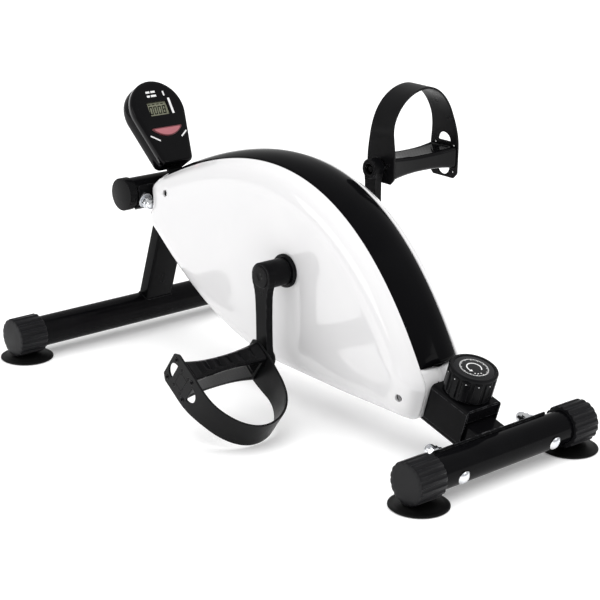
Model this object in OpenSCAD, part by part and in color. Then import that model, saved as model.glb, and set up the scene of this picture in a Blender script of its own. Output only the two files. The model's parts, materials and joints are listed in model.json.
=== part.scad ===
// Pedal exerciser: a low frame on two stabiliser tubes, a leaf shaped housing over a
// belt drive with a magnet brake, two cranks with strapped pedals and a small monitor.
// +X points to the user, -Y is the left pedal's side, +Z is up, the floor is Z = 0.

/* [Frame] */
// Distance from the middle of the machine to each stabiliser tube
tube_x = 283; // [260:1:300]
// Height of the stabiliser tubes' centre lines
tube_z = 26.5; // [26.5:0.5:34]
// Outer radius of the stabiliser and top tubes
tube_r = 17.5; // [15:0.5:18]
// Overall width over the front end caps
front_w = 396; // [360:2:420]
// Overall width over the rear end caps
rear_w = 252; // [240:2:300]
// Overall width of the top cross tube with its caps
top_w = 120; // [110:2:150]
// Place of the top cross tube along X
top_x = -261; // [-266:1:-256]
// Height of the top cross tube's centre line
top_z = 177.5; // [172:0.5:182]
// Width of the main beam across the machine
beam_w = 40; // [34:1:42]
// Height of the main beam's section
beam_h = 30; // [26:1:32]
// Width of the front post across the machine
post_w = 38; // [30:1:44]
// Thickness of the front post
post_t = 17; // [14:1:20]
// Lean of the front post toward the user, in degrees
post_lean = 17.4; // [15:0.1:19]
// Wall of the steel tubes
wall = 1.5; // [1.2:0.1:2]

/* [Feet] */
// Radius of a suction foot
foot_r = 30; // [27:0.5:32]
// Length of a fluted end cap
cap_len = 34; // [30:1:38]
// Outer radius of a fluted end cap
cap_r = 22; // [21:0.25:22]

/* [Housing] */
// Largest half width of the housing, beside the crank
shell_half_w = 47; // [45:1:50]
// Half width of the black cover strip
strip_half_w = 26; // [22:1:28]
// Wall of the housing shells
shell_wall = 2.5; // [2:0.1:3]

/* [Crank] */
// Place of the crank axle along X
crank_x = 17; // [16:1:26]
// Height of the crank axle
crank_z = 153; // [150:1:160]
// Length of a crank arm between its two holes
crank_len = 90; // [80:1:92]
// Lean of the left crank arm toward the user, in degrees
crank_lean = 2; // [0:1:15]
// Radius of the crank axle
axle_r = 8.5; // [7.5:0.25:9]

/* [Pedals] */
// Direction of the left strap from its spindle, in degrees above the user's side
left_strap_dir = -35; // [-50:1:-30]
// Direction of the right strap from its spindle, in degrees above the user's side
right_strap_dir = 90; // [60:1:120]
// Height of a strap loop above its spindle
loop_h = 84; // [76:1:86]
// Width of a pedal strap at its top
strap_w = 33; // [28:1:36]

/* [Brake] */
// Radius of the flywheel
flywheel_r = 56; // [52:1:58]

/* [Monitor] */
// Lean of the monitor's face away from the user, in degrees
monitor_lean = 34.4; // [30:0.2:38]
// Thickness of the monitor case
monitor_t = 26; // [20:1:28]

/* [Hidden] */
$fn = 64;

// Running clearance on a radius, and the gap left between faces that only come close
run = 0.05;
gap = 0.3;
eps = 0.01;

// Main beam: its slope, and its length from the rear tube's centre to the top tube's
beam_tilt = atan2(top_z - tube_z, tube_x - top_x);
beam_len = norm([tube_x - top_x, top_z - tube_z]);
saddle_t = 3;
saddle_half_arc = 52;

// Bolts of the two saddle plates
bolt_r = 4;
rear_bolt_y = 65;
top_bolt_y = 40;
washer_t = 1.6;

// Feet: height of the rubber disc and the place of each foot under its cap
foot_h = tube_z - cap_r - 0.2;
foot_inset = 18.5;

// Crank parts, measured outward from the machine's middle plane
bracket_half_w = 21;
bearing_w = 8;
bearing_r = 16;
collar_y = shell_half_w + gap;
collar_t = 4;
hub_y0 = collar_y + collar_t + gap;
hub_y1 = 82;
hub_r = 14.5;
arm_t = 9;
arm_y0 = hub_y1 - arm_t;
pedal_hub_r = 11;
pedal_hub_y1 = 84.5;

// Pedal parts, measured outward from the machine's middle plane
strap_t = 2.4;
strap_y0 = 88;
pedal_y0 = strap_y0 + strap_t + 0.1;
pedal_y1 = 185;
strap_y1 = pedal_y1 + 0.1 + strap_t;
loop_mid_y = (strap_y0 + strap_y1) / 2;
loop_half = (strap_y1 - strap_y0) / 2;
spindle_r = 6;
pedal_half_h = 12.5;
pedal_half_x = 20;

// Drive and brake
fly_x = -98;
fly_z = 166;
fly_y0 = -37;
fly_y1 = -25;
pulley_y0 = 25;
pulley_y1 = 34;
big_pulley_r = 60;
small_pulley_r = 13;
belt_t = 2;
fly_axle_r = 5;
fly_bearing_r = 11;
arm_gap = 2.5;
magnet_h = 4;
pivot_x = fly_x - 58;
pivot_z = fly_z + 33.4;

// Knob and its bracket, in the beam's frame
knob_s = -56;
bracket_top = 32.5;
bracket_len = 52;
bracket_half = 24;
knob_r = 25;
knob_h = 29;
sheet_t = 2;

// Monitor: foot of its face in the machine's frame
monitor_foot = [-232, 0, 220];
monitor_h = 96.5;
monitor_r = 36;
split = 9;
button_w = 43.5;
button_h = 11;
button_top = 37;

// ---- outlines -----------------------------------------------------------------

function arc(c, r, a0, a1, n) =
    [for (i = [0:n]) let (a = a0 + (a1 - a0) * i / n) c + r * [cos(a), sin(a)]];
function quarter(c, a, b, a0, a1, n) =
    [for (i = [0:n]) let (t = a0 + (a1 - a0) * i / n) c + [a * cos(t), b * sin(t)]];
function bezier(p, n) = [for (i = [0:n]) let (t = i / n, s = 1 - t)
    s * s * s * p[0] + 3 * s * s * t * p[1] + 3 * s * t * t * p[2] + t * t * t * p[3]];
function reversed(p) = [for (i = [len(p) - 1:-1:0]) p[i]];

// Side view of the housing, as X and Z: back curve, tail, flat underside, belly and nose
back_curve = [[-240, 192], [-92, 270], [74, 314], [199, 91]];
belly_curve = [[-246, 154], [-182, 95], [-100, 40], [0, 37]];
housing_outline = concat(
    bezier(back_curve, 28),
    [[209.5, 74], [201, 41], [195, 36], [100, 35]],
    reversed(bezier(belly_curve, 14)));

// Closed loop of a belt around two pulleys, at a distance out from their rims
function belt_loop(out) =
    let (big = [crank_x, crank_z], small = [fly_x, fly_z], v = small - big,
         dir = atan2(v[1], v[0]), half = acos((big_pulley_r - small_pulley_r) / norm(v)))
    concat(arc(big, big_pulley_r + out, dir + half, dir + 360 - half, 44),
           arc(small, small_pulley_r + out, dir - half, dir + half, 16));

// Drop shaped outline of the monitor, as Y and height up the face
function monitor_drop(inset) =
    concat(arc([0, monitor_h - monitor_r], monitor_r - inset, -13.4, 193.4, 40),
           arc([-14.5, 0.5], 8 - inset, 193.4, 270, 6),
           arc([14.5, 0.5], 8 - inset, 270, 346.6, 6));

// ---- placing ------------------------------------------------------------------

// A solid drawn along +Z is laid along Y, from y0 to y1
module along_y(y0, y1) {
    translate([0, y1, 0]) rotate([90, 0, 0]) children();
}

module y_cylinder(r, y0, y1) {
    along_y(y0, y1) cylinder(r = r, h = y1 - y0);
}

// An outline in X and Z becomes a plate between y0 and y1
module y_plate(y0, y1) {
    along_y(y0, y1) linear_extrude(y1 - y0) children();
}

module both_sides() {
    children();
    mirror([0, 1, 0]) children();
}

// Beam frame: its origin is the rear tube's centre and -X runs up the beam
module on_beam() {
    translate([tube_x, 0, tube_z]) rotate([0, beam_tilt, 0]) children();
}

module on_top_tube() {
    on_beam() translate([-beam_len, 0, 0]) children();
}

// Place of a crank's spindle in X and Z; side is 1 on the right and -1 on the left
function spindle(side) = [
    crank_x - side * crank_len * sin(crank_lean),
    crank_z + side * crank_len * cos(crank_lean)];

// Pedal frame: its origin is on the spindle, +Z points through the strap's loop
module on_spindle(side, dir) {
    s = spindle(side);
    translate([s[0], 0, s[1]]) rotate([0, 90 - dir, 0])
        mirror([0, side < 0 ? 1 : 0, 0]) children();
}

module on_crank(side) {
    translate([crank_x, 0, crank_z]) rotate([0, (side < 0 ? 180 : 0) - crank_lean, 0])
        mirror([0, side < 0 ? 1 : 0, 0]) children();
}

// Monitor frame: origin at the foot of the face, +X out of the face and +Z up it
module on_monitor() {
    translate(monitor_foot) rotate([0, -monitor_lean, 0]) children();
}

// An outline in Y and Z becomes a plate between x0 and x1
module x_plate(x0, x1) {
    translate([x0, 0, 0]) rotate([90, 0, 90]) linear_extrude(x1 - x0) children();
}

// ---- frame --------------------------------------------------------------------

module beam_block(grow, x0, x1) {
    translate([x0, -beam_w / 2 - grow, -beam_h / 2 - grow])
        cube([x1 - x0, beam_w + 2 * grow, beam_h + 2 * grow]);
}

module main_beam() {
    end_gap = tube_r + saddle_t + 3 * eps;
    color("#1b1c1e") on_beam() difference() {
        beam_block(0, -beam_len + 12, -12);
        beam_block(-wall, -beam_len, 0);
        y_cylinder(end_gap, -beam_w, beam_w);
        translate([-beam_len, 0, 0]) y_cylinder(end_gap, -beam_w, beam_w);
        for (y = [-1, 1]) housing_screw_hole(y);
    }
}

// The rear housing screws bite into the sides of the beam
module housing_screw_hole(side) {
    rotate([0, -beam_tilt, 0]) translate([screw_rear[0] - tube_x, 0, screw_rear[1] - tube_z])
        y_cylinder(2.05, min(0, side * 30), max(0, side * 30));
}

module post_block(grow, z0, z1) {
    translate([-tube_x, 0, tube_z]) rotate([0, post_lean, 0])
        translate([-post_t / 2 - grow, -post_w / 2 - grow, z0])
            cube([post_t + 2 * grow, post_w + 2 * grow, z1 - z0]);
}

module front_post() {
    color("#1b1c1e") difference() {
        post_block(0, 10, 155);
        post_block(-wall, 0, 160);
        translate([-tube_x, 0, tube_z]) y_cylinder(tube_r + eps, -post_w, post_w);
        on_beam() translate([-beam_len - 60, -post_w, -beam_h / 2]) cube([200, 2 * post_w, 100]);
    }
}

module tube(half_len) {
    difference() {
        y_cylinder(tube_r, -half_len, half_len);
        y_cylinder(tube_r - wall, -half_len - 1, half_len + 1);
        children();
    }
}

module foot_screw_holes(half_len) {
    for (y = [-1, 1]) translate([0, y * (half_len - foot_inset), -tube_z]) cylinder(r = 2.6, h = tube_z);
}

module bolt_holes(y) {
    for (side = [-1, 1])
        translate([-40, side * y, 0]) rotate([0, 90, 0]) cylinder(r = bolt_r + 0.2, h = 80);
}

module front_stabilizer_tube() {
    color("#1b1c1e") translate([-tube_x, 0, tube_z]) tube(front_w / 2 - 4) foot_screw_holes(front_w / 2);
}

module rear_stabilizer_tube() {
    color("#1b1c1e") translate([tube_x, 0, tube_z]) tube(rear_w / 2 - 4) {
        foot_screw_holes(rear_w / 2);
        rotate([0, beam_tilt, 0]) bolt_holes(rear_bolt_y);
    }
}

module top_cross_tube() {
    color("#1b1c1e") on_top_tube() tube(top_w / 2 - 3) bolt_holes(top_bolt_y);
}

module rear_saddle_plate() {
    color("#1b1c1e") on_beam() arc_plate(78, 180) bolt_holes(rear_bolt_y);
}

module top_saddle_plate() {
    color("#1b1c1e") on_top_tube() arc_plate(48.5, 0) bolt_holes(top_bolt_y);
}

// Part of a ring around Y, half_len to each side, centred on the direction dir
module arc_plate(half_len, dir) {
    reach = 60;
    wedge = [[0, 0],
        reach * [cos(dir - saddle_half_arc), sin(dir - saddle_half_arc)],
        reach * 2 * [cos(dir), sin(dir)],
        reach * [cos(dir + saddle_half_arc), sin(dir + saddle_half_arc)]];
    difference() {
        intersection() {
            y_plate(-half_len, half_len) polygon(wedge);
            difference() {
                y_cylinder(tube_r + saddle_t, -half_len, half_len);
                y_cylinder(tube_r + eps, -half_len - 1, half_len + 1);
            }
        }
        children();
    }
}

// Fluted cap on a stabiliser's +Y end, drawn with its outer face at y
module fluted_cap(y) {
    flutes = 18;
    difference() {
        union() {
            y_cylinder(cap_r, y - cap_len, y - 2.5);
            along_y(y - 2.5, y) rotate_extrude()
                polygon([[0, 0], [cap_r - 2.5, 0], [cap_r, 2.5], [0, 2.5]]);
        }
        y_cylinder(tube_r + run, y - cap_len - 1, y - 4);
        for (i = [0:flutes - 1]) rotate([0, i * 360 / flutes, 0])
            translate([0, 0, cap_r + 0.9]) y_cylinder(2, y - cap_len - 1, y + 1);
        translate([0, y - foot_inset, -tube_z]) cylinder(r = 2.6, h = tube_z);
    }
}

module front_end_caps() {
    color("#26272a") translate([-tube_x, 0, tube_z]) both_sides() fluted_cap(front_w / 2);
}

module rear_end_caps() {
    color("#26272a") translate([tube_x, 0, tube_z]) both_sides() fluted_cap(rear_w / 2);
}

module top_tube_caps() {
    y = top_w / 2;
    color("#26272a") on_top_tube() both_sides() difference() {
        union() {
            y_cylinder(tube_r + 1.5, y - 11, y - 1.5);
            along_y(y - 1.5, y) rotate_extrude()
                polygon([[0, 0], [tube_r, 0], [tube_r + 1.5, 1.5], [0, 1.5]]);
        }
        y_cylinder(tube_r + run, y - 12, y - 3);
    }
}

module suction_foot() {
    color("#1f1f20") difference() {
        rotate_extrude() polygon([[2.7, 2.2], [7, 2.2], [22, 1.6], [27, 0], [foot_r, 0], [foot_r, 1.6],
            [foot_r - 4, 2.6], [17, foot_h], [2.7, foot_h]]);
        cylinder(r = 2.7, h = 20);
    }
}

module at_front_feet() {
    for (side = [-1, 1]) translate([-tube_x, side * (front_w / 2 - foot_inset), 0]) children();
}

module at_rear_feet() {
    for (side = [-1, 1]) translate([tube_x, side * (rear_w / 2 - foot_inset), 0]) children();
}

module front_suction_feet() {
    at_front_feet() suction_foot();
}

module rear_suction_feet() {
    at_rear_feet() suction_foot();
}

module foot_screw() {
    translate([0, 0, 0.8]) cylinder(r = 4.5, h = 1.35);
    translate([0, 0, 1]) cylinder(r = 2.5, h = 14);
}

module foot_screws() {
    color("silver") at_front_feet() foot_screw();
    color("silver") at_rear_feet() foot_screw();
}

// A fastener is drawn along -X from the tube's centre, with its nut on the -X side
module at_bolts() {
    on_beam() for (side = [-1, 1]) translate([0, side * rear_bolt_y, 0]) children();
    on_top_tube() for (side = [-1, 1])
        translate([0, side * top_bolt_y, 0]) rotate([0, 180, 0]) children();
}

module carriage_bolt() {
    head_h = 3.6;
    head_r = 7.2;
    ball_r = (head_r * head_r + head_h * head_h) / (2 * head_h);
    nut_end = tube_r + saddle_t + washer_t + 8;
    rotate([0, 90, 0]) {
        intersection() {
            translate([0, 0, tube_r + head_h - ball_r]) sphere(r = ball_r);
            translate([0, 0, tube_r]) cylinder(r = head_r, h = head_h);
        }
        translate([0, 0, -nut_end]) cylinder(r = bolt_r, h = nut_end + tube_r + 1);
    }
}

module carriage_bolts() {
    color("silver") at_bolts() carriage_bolt();
}

module arc_washers() {
    x = tube_r + saddle_t + 0.1;
    color("silver") at_bolts() rotate([0, -90, 0]) translate([0, 0, x]) difference() {
        cylinder(r = 9, h = washer_t);
        translate([0, 0, -1]) cylinder(r = bolt_r + 0.2, h = 5);
        rotate([90, 0, 0]) translate([0, -x, -20]) cylinder(r = x, h = 40);
    }
}

module dome_nuts() {
    x = tube_r + saddle_t + washer_t + 0.2;
    color("silver") at_bolts() rotate([0, -90, 0]) translate([0, 0, x]) difference() {
        union() {
            cylinder(r = 7.5, h = 6, $fn = 6);
            translate([0, 0, 6]) cylinder(r = 6, h = 2);
            translate([0, 0, 8]) intersection() {
                sphere(r = 6);
                cylinder(r = 7, h = 7);
            }
        }
        translate([0, 0, -1]) cylinder(r = bolt_r + run, h = 10);
    }
}

// ---- crank bearing and drive ----------------------------------------------------

module at_crank() {
    translate([crank_x, 0, crank_z]) children();
}

module bottom_bracket_tube() {
    color("#3a3c3f") at_crank() difference() {
        y_cylinder(bearing_r + 4, -bracket_half_w, bracket_half_w);
        y_cylinder(bearing_r - 2, -bracket_half_w - 1, bracket_half_w + 1);
        both_sides() y_cylinder(bearing_r + run, bracket_half_w - bearing_w - 1, bracket_half_w + 1);
    }
}

module bottom_bracket_riser() {
    side = [[-26, 0], [26, 0], [14, 70], [-14, 70]];
    color("#3a3c3f") both_sides() difference() {
        translate([crank_x, 0, beam_z(crank_x)]) y_plate(14, 18) polygon(side);
        on_beam() beam_block(eps, -beam_len, 0);
        at_crank() y_cylinder(bearing_r + 4 + eps, 0, 40);
    }
}

function beam_z(x) = tube_z + (tube_x - x) * tan(beam_tilt);

module bearing(outer, inner, w) {
    rotate_extrude() polygon([[inner, 0], [outer, 0], [outer, w], [outer - 2, w], [outer - 2.6, w - 0.8],
        [inner + 2.6, w - 0.8], [inner + 2, w], [inner, w]]);
}

module crank_bearings() {
    y = bracket_half_w - 0.5;
    color("silver") at_crank() both_sides()
        along_y(y - bearing_w, y) bearing(bearing_r, axle_r + run, bearing_w);
}

module crank_axle() {
    color("silver") at_crank() difference() {
        y_cylinder(axle_r, -78, 78);
        both_sides() y_cylinder(4.1, 60, 79);
    }
}

module drive_pulley() {
    y = pulley_y1 - pulley_y0;
    color("#d9d9d2") at_crank() along_y(pulley_y0, pulley_y1) difference() {
        rotate_extrude() polygon([[axle_r + eps, 0], [16, 0], [16, 3], [big_pulley_r - 6, 3],
            [big_pulley_r - 6, 0], [big_pulley_r + 2.4, 0], [big_pulley_r + 2.4, 1],
            [big_pulley_r, 1.4], [big_pulley_r, y - 1.4],
            [big_pulley_r + 2.4, y - 1], [big_pulley_r + 2.4, y], [big_pulley_r - 6, y],
            [big_pulley_r - 6, 6], [16, 6], [16, y], [axle_r + eps, y]]);
        for (a = [30:60:330]) rotate([0, 0, a]) translate([35, 0, -1]) cylinder(r = 11, h = 20);
    }
}

module sensor_magnet() {
    color("silver") at_crank() translate([34, 0, 0]) y_cylinder(3, pulley_y0 + 1, pulley_y0 + 2.95);
}

module speed_sensor() {
    color("#2c2d2f") at_crank() translate([-7, 18, -34.3]) cube([14, 5.5, 11]);
}

module drive_belt() {
    color("#202020") difference() {
        y_plate(pulley_y0 + 1.7, pulley_y1 - 1.7) polygon(belt_loop(gap + belt_t));
        y_plate(pulley_y0, pulley_y1) polygon(belt_loop(gap));
    }
}

module at_flywheel() {
    translate([fly_x, 0, fly_z]) children();
}

module flywheel() {
    w = fly_y1 - fly_y0;
    color("#8b8e92") at_flywheel() along_y(fly_y0, fly_y1) rotate_extrude()
        polygon([[fly_axle_r + eps, 0], [14, 0], [17, 3], [40, 3], [43, 0], [flywheel_r, 0],
            [flywheel_r, w], [43, w], [40, w - 3], [17, w - 3], [14, w], [fly_axle_r + eps, w]]);
}

module flywheel_axle() {
    color("silver") at_flywheel() y_cylinder(fly_axle_r, -39, 36);
}

module flywheel_pulley() {
    y = pulley_y1 - pulley_y0;
    r = small_pulley_r;
    color("silver") at_flywheel() along_y(pulley_y0, pulley_y1) rotate_extrude()
        polygon([[fly_axle_r + eps, 0], [r + 2.4, 0], [r + 2.4, 1], [r, 1.4], [r, y - 1.4],
            [r + 2.4, y - 1], [r + 2.4, y], [fly_axle_r + eps, y]]);
}

module flywheel_bracket() {
    side = [[-28, -45], [28, -45], [14, 10], [0, 16], [-14, 10]];
    color("#3a3c3f") both_sides() difference() {
        at_flywheel() y_plate(10, 19) polygon(side);
        on_beam() beam_block(eps, -beam_len, 0);
        at_flywheel() y_cylinder(fly_bearing_r + run, 11, 40);
        at_flywheel() y_cylinder(fly_bearing_r - 2, 0, 40);
    }
}

module flywheel_bearings() {
    color("silver") at_flywheel() both_sides()
        along_y(11.2, 18.8) bearing(fly_bearing_r, fly_axle_r + run, 7.6);
}

// ---- magnet brake ---------------------------------------------------------------

// Sector of a ring in X and Z, from angle a0 to a1
module sector(r0, r1, a0, a1) {
    polygon(concat(arc([0, 0], r1, a0, a1, 24), reversed(arc([0, 0], r0, a0, a1, 24))));
}

module magnet_arm() {
    r0 = flywheel_r + arm_gap + magnet_h;
    color("#6f7276") difference() {
        union() {
            at_flywheel() y_plate(fly_y0 + 1, fly_y1 - 1) sector(r0, r0 + 5, 62, 146);
            translate([pivot_x, 0, pivot_z]) y_cylinder(7, fly_y0 + 1, fly_y1 - 1);
        }
        translate([pivot_x, 0, pivot_z]) y_cylinder(4 + run, fly_y0, fly_y1);
    }
}

module brake_magnets() {
    r0 = flywheel_r + arm_gap;
    color("silver") at_flywheel() for (a = [68:14:124])
        y_plate(fly_y0 + 2, fly_y1 - 2) rotate(a) translate([r0, -6]) square([magnet_h - 0.3, 12]);
}

module magnet_arm_pivot() {
    foot_z = beam_z(pivot_x) - pivot_z;
    color("#3a3c3f") difference() {
        translate([pivot_x, 0, pivot_z]) union() {
            y_cylinder(4, fly_y0 - 1, -14);
            y_plate(-19, -14) polygon([[-16, foot_z], [20, foot_z], [7, 4], [3, 8], [-3, 8], [-7, 4]]);
        }
        on_beam() beam_block(eps, -beam_len, 0);
    }
}

module knob_bracket() {
    x0 = knob_s - bracket_len / 2;
    color("#1b1c1e") on_beam() difference() {
        translate([x0, -bracket_half, -6]) cube([bracket_len, 2 * bracket_half, bracket_top + 6]);
        translate([x0 + sheet_t, -bracket_half + sheet_t, -10])
            cube([bracket_len - 2 * sheet_t, 2 * (bracket_half - sheet_t), bracket_top - sheet_t + 10]);
        translate([x0 + bracket_len - 10, -bracket_half + sheet_t, -10])
            cube([20, 2 * (bracket_half - sheet_t), 28]);
        translate([x0 - 1, -beam_w / 2 - gap, -beam_h])
            cube([bracket_len + 2, beam_w + 2 * gap, beam_h * 1.5 + eps]);
        translate([knob_s, 0, 0]) cylinder(r = 5 + run, h = 60);
        translate([x0 - 1, -8.5, 24]) rotate([0, 90, 0]) cylinder(r = 3.6, h = 8);
    }
}

module cable_spool() {
    color("#2c2d2f") on_beam() translate([knob_s, 0, 0]) {
        translate([0, 0, 19]) cylinder(r = 9, h = 2);
        translate([0, 0, 21]) cylinder(r = 6, h = 6);
        translate([0, 0, 27]) cylinder(r = 9, h = 2);
        translate([0, 0, 29]) cylinder(r = 5, h = bracket_top - 29 + 12);
    }
}

module tension_knob() {
    lobes = 12;
    z0 = bracket_top + 1;
    color("#202123") on_beam() translate([knob_s, 0, z0]) difference() {
        union() {
            rotate_extrude() polygon([[0, 0], [knob_r - 1.5, 0], [knob_r - 1.5, knob_h - 3],
                [knob_r, knob_h - 3], [knob_r, knob_h - 1], [knob_r - 1, knob_h], [0, knob_h]]);
            for (i = [0:lobes - 1]) rotate([0, 0, i * 360 / lobes]) translate([knob_r - 2, -4.2, 2])
                cube([2, 8.4, knob_h - 6]);
        }
        translate([0, 0, -1]) cylinder(r = 5 + eps, h = 12.1);
        translate([0, 0, knob_h - 1.2]) cylinder(r = 20.5, h = 3);
    }
}

module knob_dial() {
    color("#3b3c3f") on_beam()
        translate([knob_s, 0, bracket_top + knob_h - 0.2]) cylinder(r = 20.3, h = 1);
}

// Sweeps a round cable along a list of points
cable_r = 2.2;
cable_sides = 8;
cable_steps = 10;
cable_route = [[233.5, -8.6, 65.1], [211.4, -8.5, 71.3], [180, -10, 98], [120, -16, 146], [70, -22, 178],
    [20, -28, 205], [-58, -31, 224]];

function catmull(p0, p1, p2, p3, t) = 0.5 * (2 * p1 + (p2 - p0) * t
    + (2 * p0 - 5 * p1 + 4 * p2 - p3) * t * t + (3 * p1 - p0 - 3 * p2 + p3) * t * t * t);
function route_at(p, i) = p[max(0, min(len(p) - 1, i))];
function smooth_route(p, n) = concat([for (i = [0:len(p) - 2], k = [0:n - 1])
    catmull(route_at(p, i - 1), p[i], p[i + 1], route_at(p, i + 2), k / n)], [p[len(p) - 1]]);

module tension_cable() {
    p = smooth_route(cable_route, cable_steps);
    n = len(p);
    m = cable_sides;
    rings = [for (i = [0:n - 1]) let (
        d = route_at(p, i + 1) - route_at(p, i - 1), f = d / norm(d),
        s = cross(f, [0, 0, 1]), side = s / norm(s), up = cross(side, f))
        for (k = [0:m - 1]) p[i] + cable_r * (cos(360 * k / m) * side + sin(360 * k / m) * up)];
    skin = [for (i = [0:n - 2], k = [0:m - 1])
        [i * m + k, i * m + (k + 1) % m, (i + 1) * m + (k + 1) % m, (i + 1) * m + k]];
    first = [for (k = [m - 1:-1:0]) k];
    last = [for (k = [0:m - 1]) (n - 1) * m + k];
    color("#151515") polyhedron(points = rings, faces = concat(skin, [first, last]));
}

// ---- housing ----------------------------------------------------------------------

screw_front = [-196, 190.5];
screw_rear = [187, 62];

// The nose curves round the top cross tube and makes room for the front post and two dome nuts
nose_notch_r = 28;
nut_room_r = 9.3;

// The housing's full outer form, drawn in from its surface by inset
module housing_form(inset) {
    hull() {
        y_plate(-28 + inset, 28 - inset) offset(delta = -inset) polygon(housing_outline);
        y_plate(-41 + inset, 41 - inset) offset(delta = -4 - inset) polygon(housing_outline);
        y_plate(-shell_half_w + inset, shell_half_w - inset)
            offset(delta = -20 - inset) polygon(housing_outline);
    }
}

// The room that the cover strip fills, between the two shells
module strip_room(side_gap) {
    above = [for (p = bezier(back_curve, 28)) p + [0, 30]];
    y_plate(-strip_half_w - side_gap, strip_half_w + side_gap)
        polygon(concat([[-250, 150]], above, [[196, 90], [150, 60]]));
}

module left_half() {
    translate([-300, -60, 0]) cube([600, 60 - 0.05, 320]);
}

module housing_shell() {
    difference() {
        intersection() {
            difference() {
                housing_form(0);
                housing_form(shell_wall);
            }
            left_half();
        }
        strip_room(0.1);
        at_nose_and_tail();
        at_crank() y_cylinder(axle_r + 3, -60, 0);
        for (p = [screw_front, screw_rear]) translate([p[0], 0, p[1]]) y_cylinder(4, -60, 0);
    }
}

// Openings where the beam, the front plate and the cable pass through the shells
module at_nose_and_tail() {
    on_beam() beam_block(gap, -beam_len, 0);
    on_beam() translate([-110, -8, 26.5]) rotate([0, 90, 0]) cylinder(r = 6.5, h = 60);
    nose_cut();
}

module nose_cut() {
    post_block(gap, 10, 155);
    on_top_tube() y_cylinder(nose_notch_r, -60, 60);
    on_top_tube() for (side = [-1, 1])
        translate([0, side * top_bolt_y, 0]) rotate([0, 90, 0]) cylinder(r = nut_room_r, h = 38);
}

module left_housing_shell() {
    color("white") housing_shell();
}

module right_housing_shell() {
    color("white") mirror([0, 1, 0]) housing_shell();
}

module top_cover_strip() {
    crown = 6;
    color("#101012") difference() {
        intersection() {
            difference() {
                hull() {
                    y_plate(-strip_half_w, strip_half_w) polygon(housing_outline);
                    y_plate(-12, 12) offset(delta = crown * 0.75) polygon(housing_outline);
                    y_plate(-4, 4) offset(delta = crown) polygon(housing_outline);
                }
                y_plate(-60, 60) offset(delta = -shell_wall) polygon(housing_outline);
            }
            strip_room(0);
        }
        on_beam() beam_block(gap, -beam_len, 0);
        nose_cut();
        on_monitor() bracket_tongue(gap);
    }
}

module housing_screw(y0, y1) {
    y_cylinder(3.4, y1 - 2, y1);
    y_cylinder(2, y0, y1 - 1);
}

module housing_screws() {
    color("#8a8c8f") both_sides() {
        translate([screw_front[0], 0, screw_front[1]]) housing_screw(0.2, 27);
        translate([screw_rear[0], 0, screw_rear[1]]) housing_screw(18, 31);
    }
}

module crank_collars() {
    color("#17181a") at_crank() both_sides() difference() {
        union() {
            y_cylinder(18, collar_y, collar_y + collar_t);
            y_cylinder(axle_r + 2.8, collar_y - 4, collar_y + 1);
        }
        y_cylinder(axle_r + 0.3, 0, 60);
    }
}

// ---- cranks and pedals ------------------------------------------------------------

// Right crank arm, standing straight up from the crank axle at the origin
module crank_arm() {
    color("#1d1e20") difference() {
        union() {
            y_cylinder(hub_r, hub_y0, hub_y1);
            y_plate(arm_y0, hub_y1) polygon([[-10.5, 0], [-8.5, 22], [-8.5, crank_len - 8],
                [8.5, crank_len - 8], [8.5, 22], [10.5, 0]]);
            translate([0, 0, crank_len]) y_cylinder(pedal_hub_r, arm_y0 - 2, pedal_hub_y1);
        }
        y_cylinder(axle_r + eps, 0, 78);
        y_cylinder(10, 78, 90);
        translate([0, 0, crank_len]) y_cylinder(spindle_r + eps, 0, 100);
    }
}

module left_crank_arm() {
    on_crank(-1) crank_arm();
}

module right_crank_arm() {
    on_crank(1) crank_arm();
}

module crank_bolts() {
    color("silver") at_crank() both_sides() {
        y_cylinder(4, 62, 79);
        along_y(78.1, 80.3) cylinder(r = 6.5, h = 2.2, $fn = 6);
    }
}

module dust_plugs() {
    color("#2a2b2e") at_crank() both_sides() difference() {
        union() {
            y_cylinder(9.95, 78.1, 82);
            along_y(82, 83) rotate_extrude() polygon([[0, 0], [11, 0], [12.5, 1], [0, 1]]);
        }
        y_cylinder(7, 78, 80.5);
    }
}

module pedal_spindle() {
    color("silver") difference() {
        union() {
            y_cylinder(spindle_r, arm_y0, pedal_y1 - 8);
            y_cylinder(8, pedal_hub_y1 + 0.1, pedal_hub_y1 + 3);
        }
        y_cylinder(3, arm_y0 - 1, arm_y0 + 5);
    }
}

module left_pedal_spindle() {
    on_spindle(-1, left_strap_dir) pedal_spindle();
}

module right_pedal_spindle() {
    on_spindle(1, right_strap_dir) pedal_spindle();
}

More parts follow.
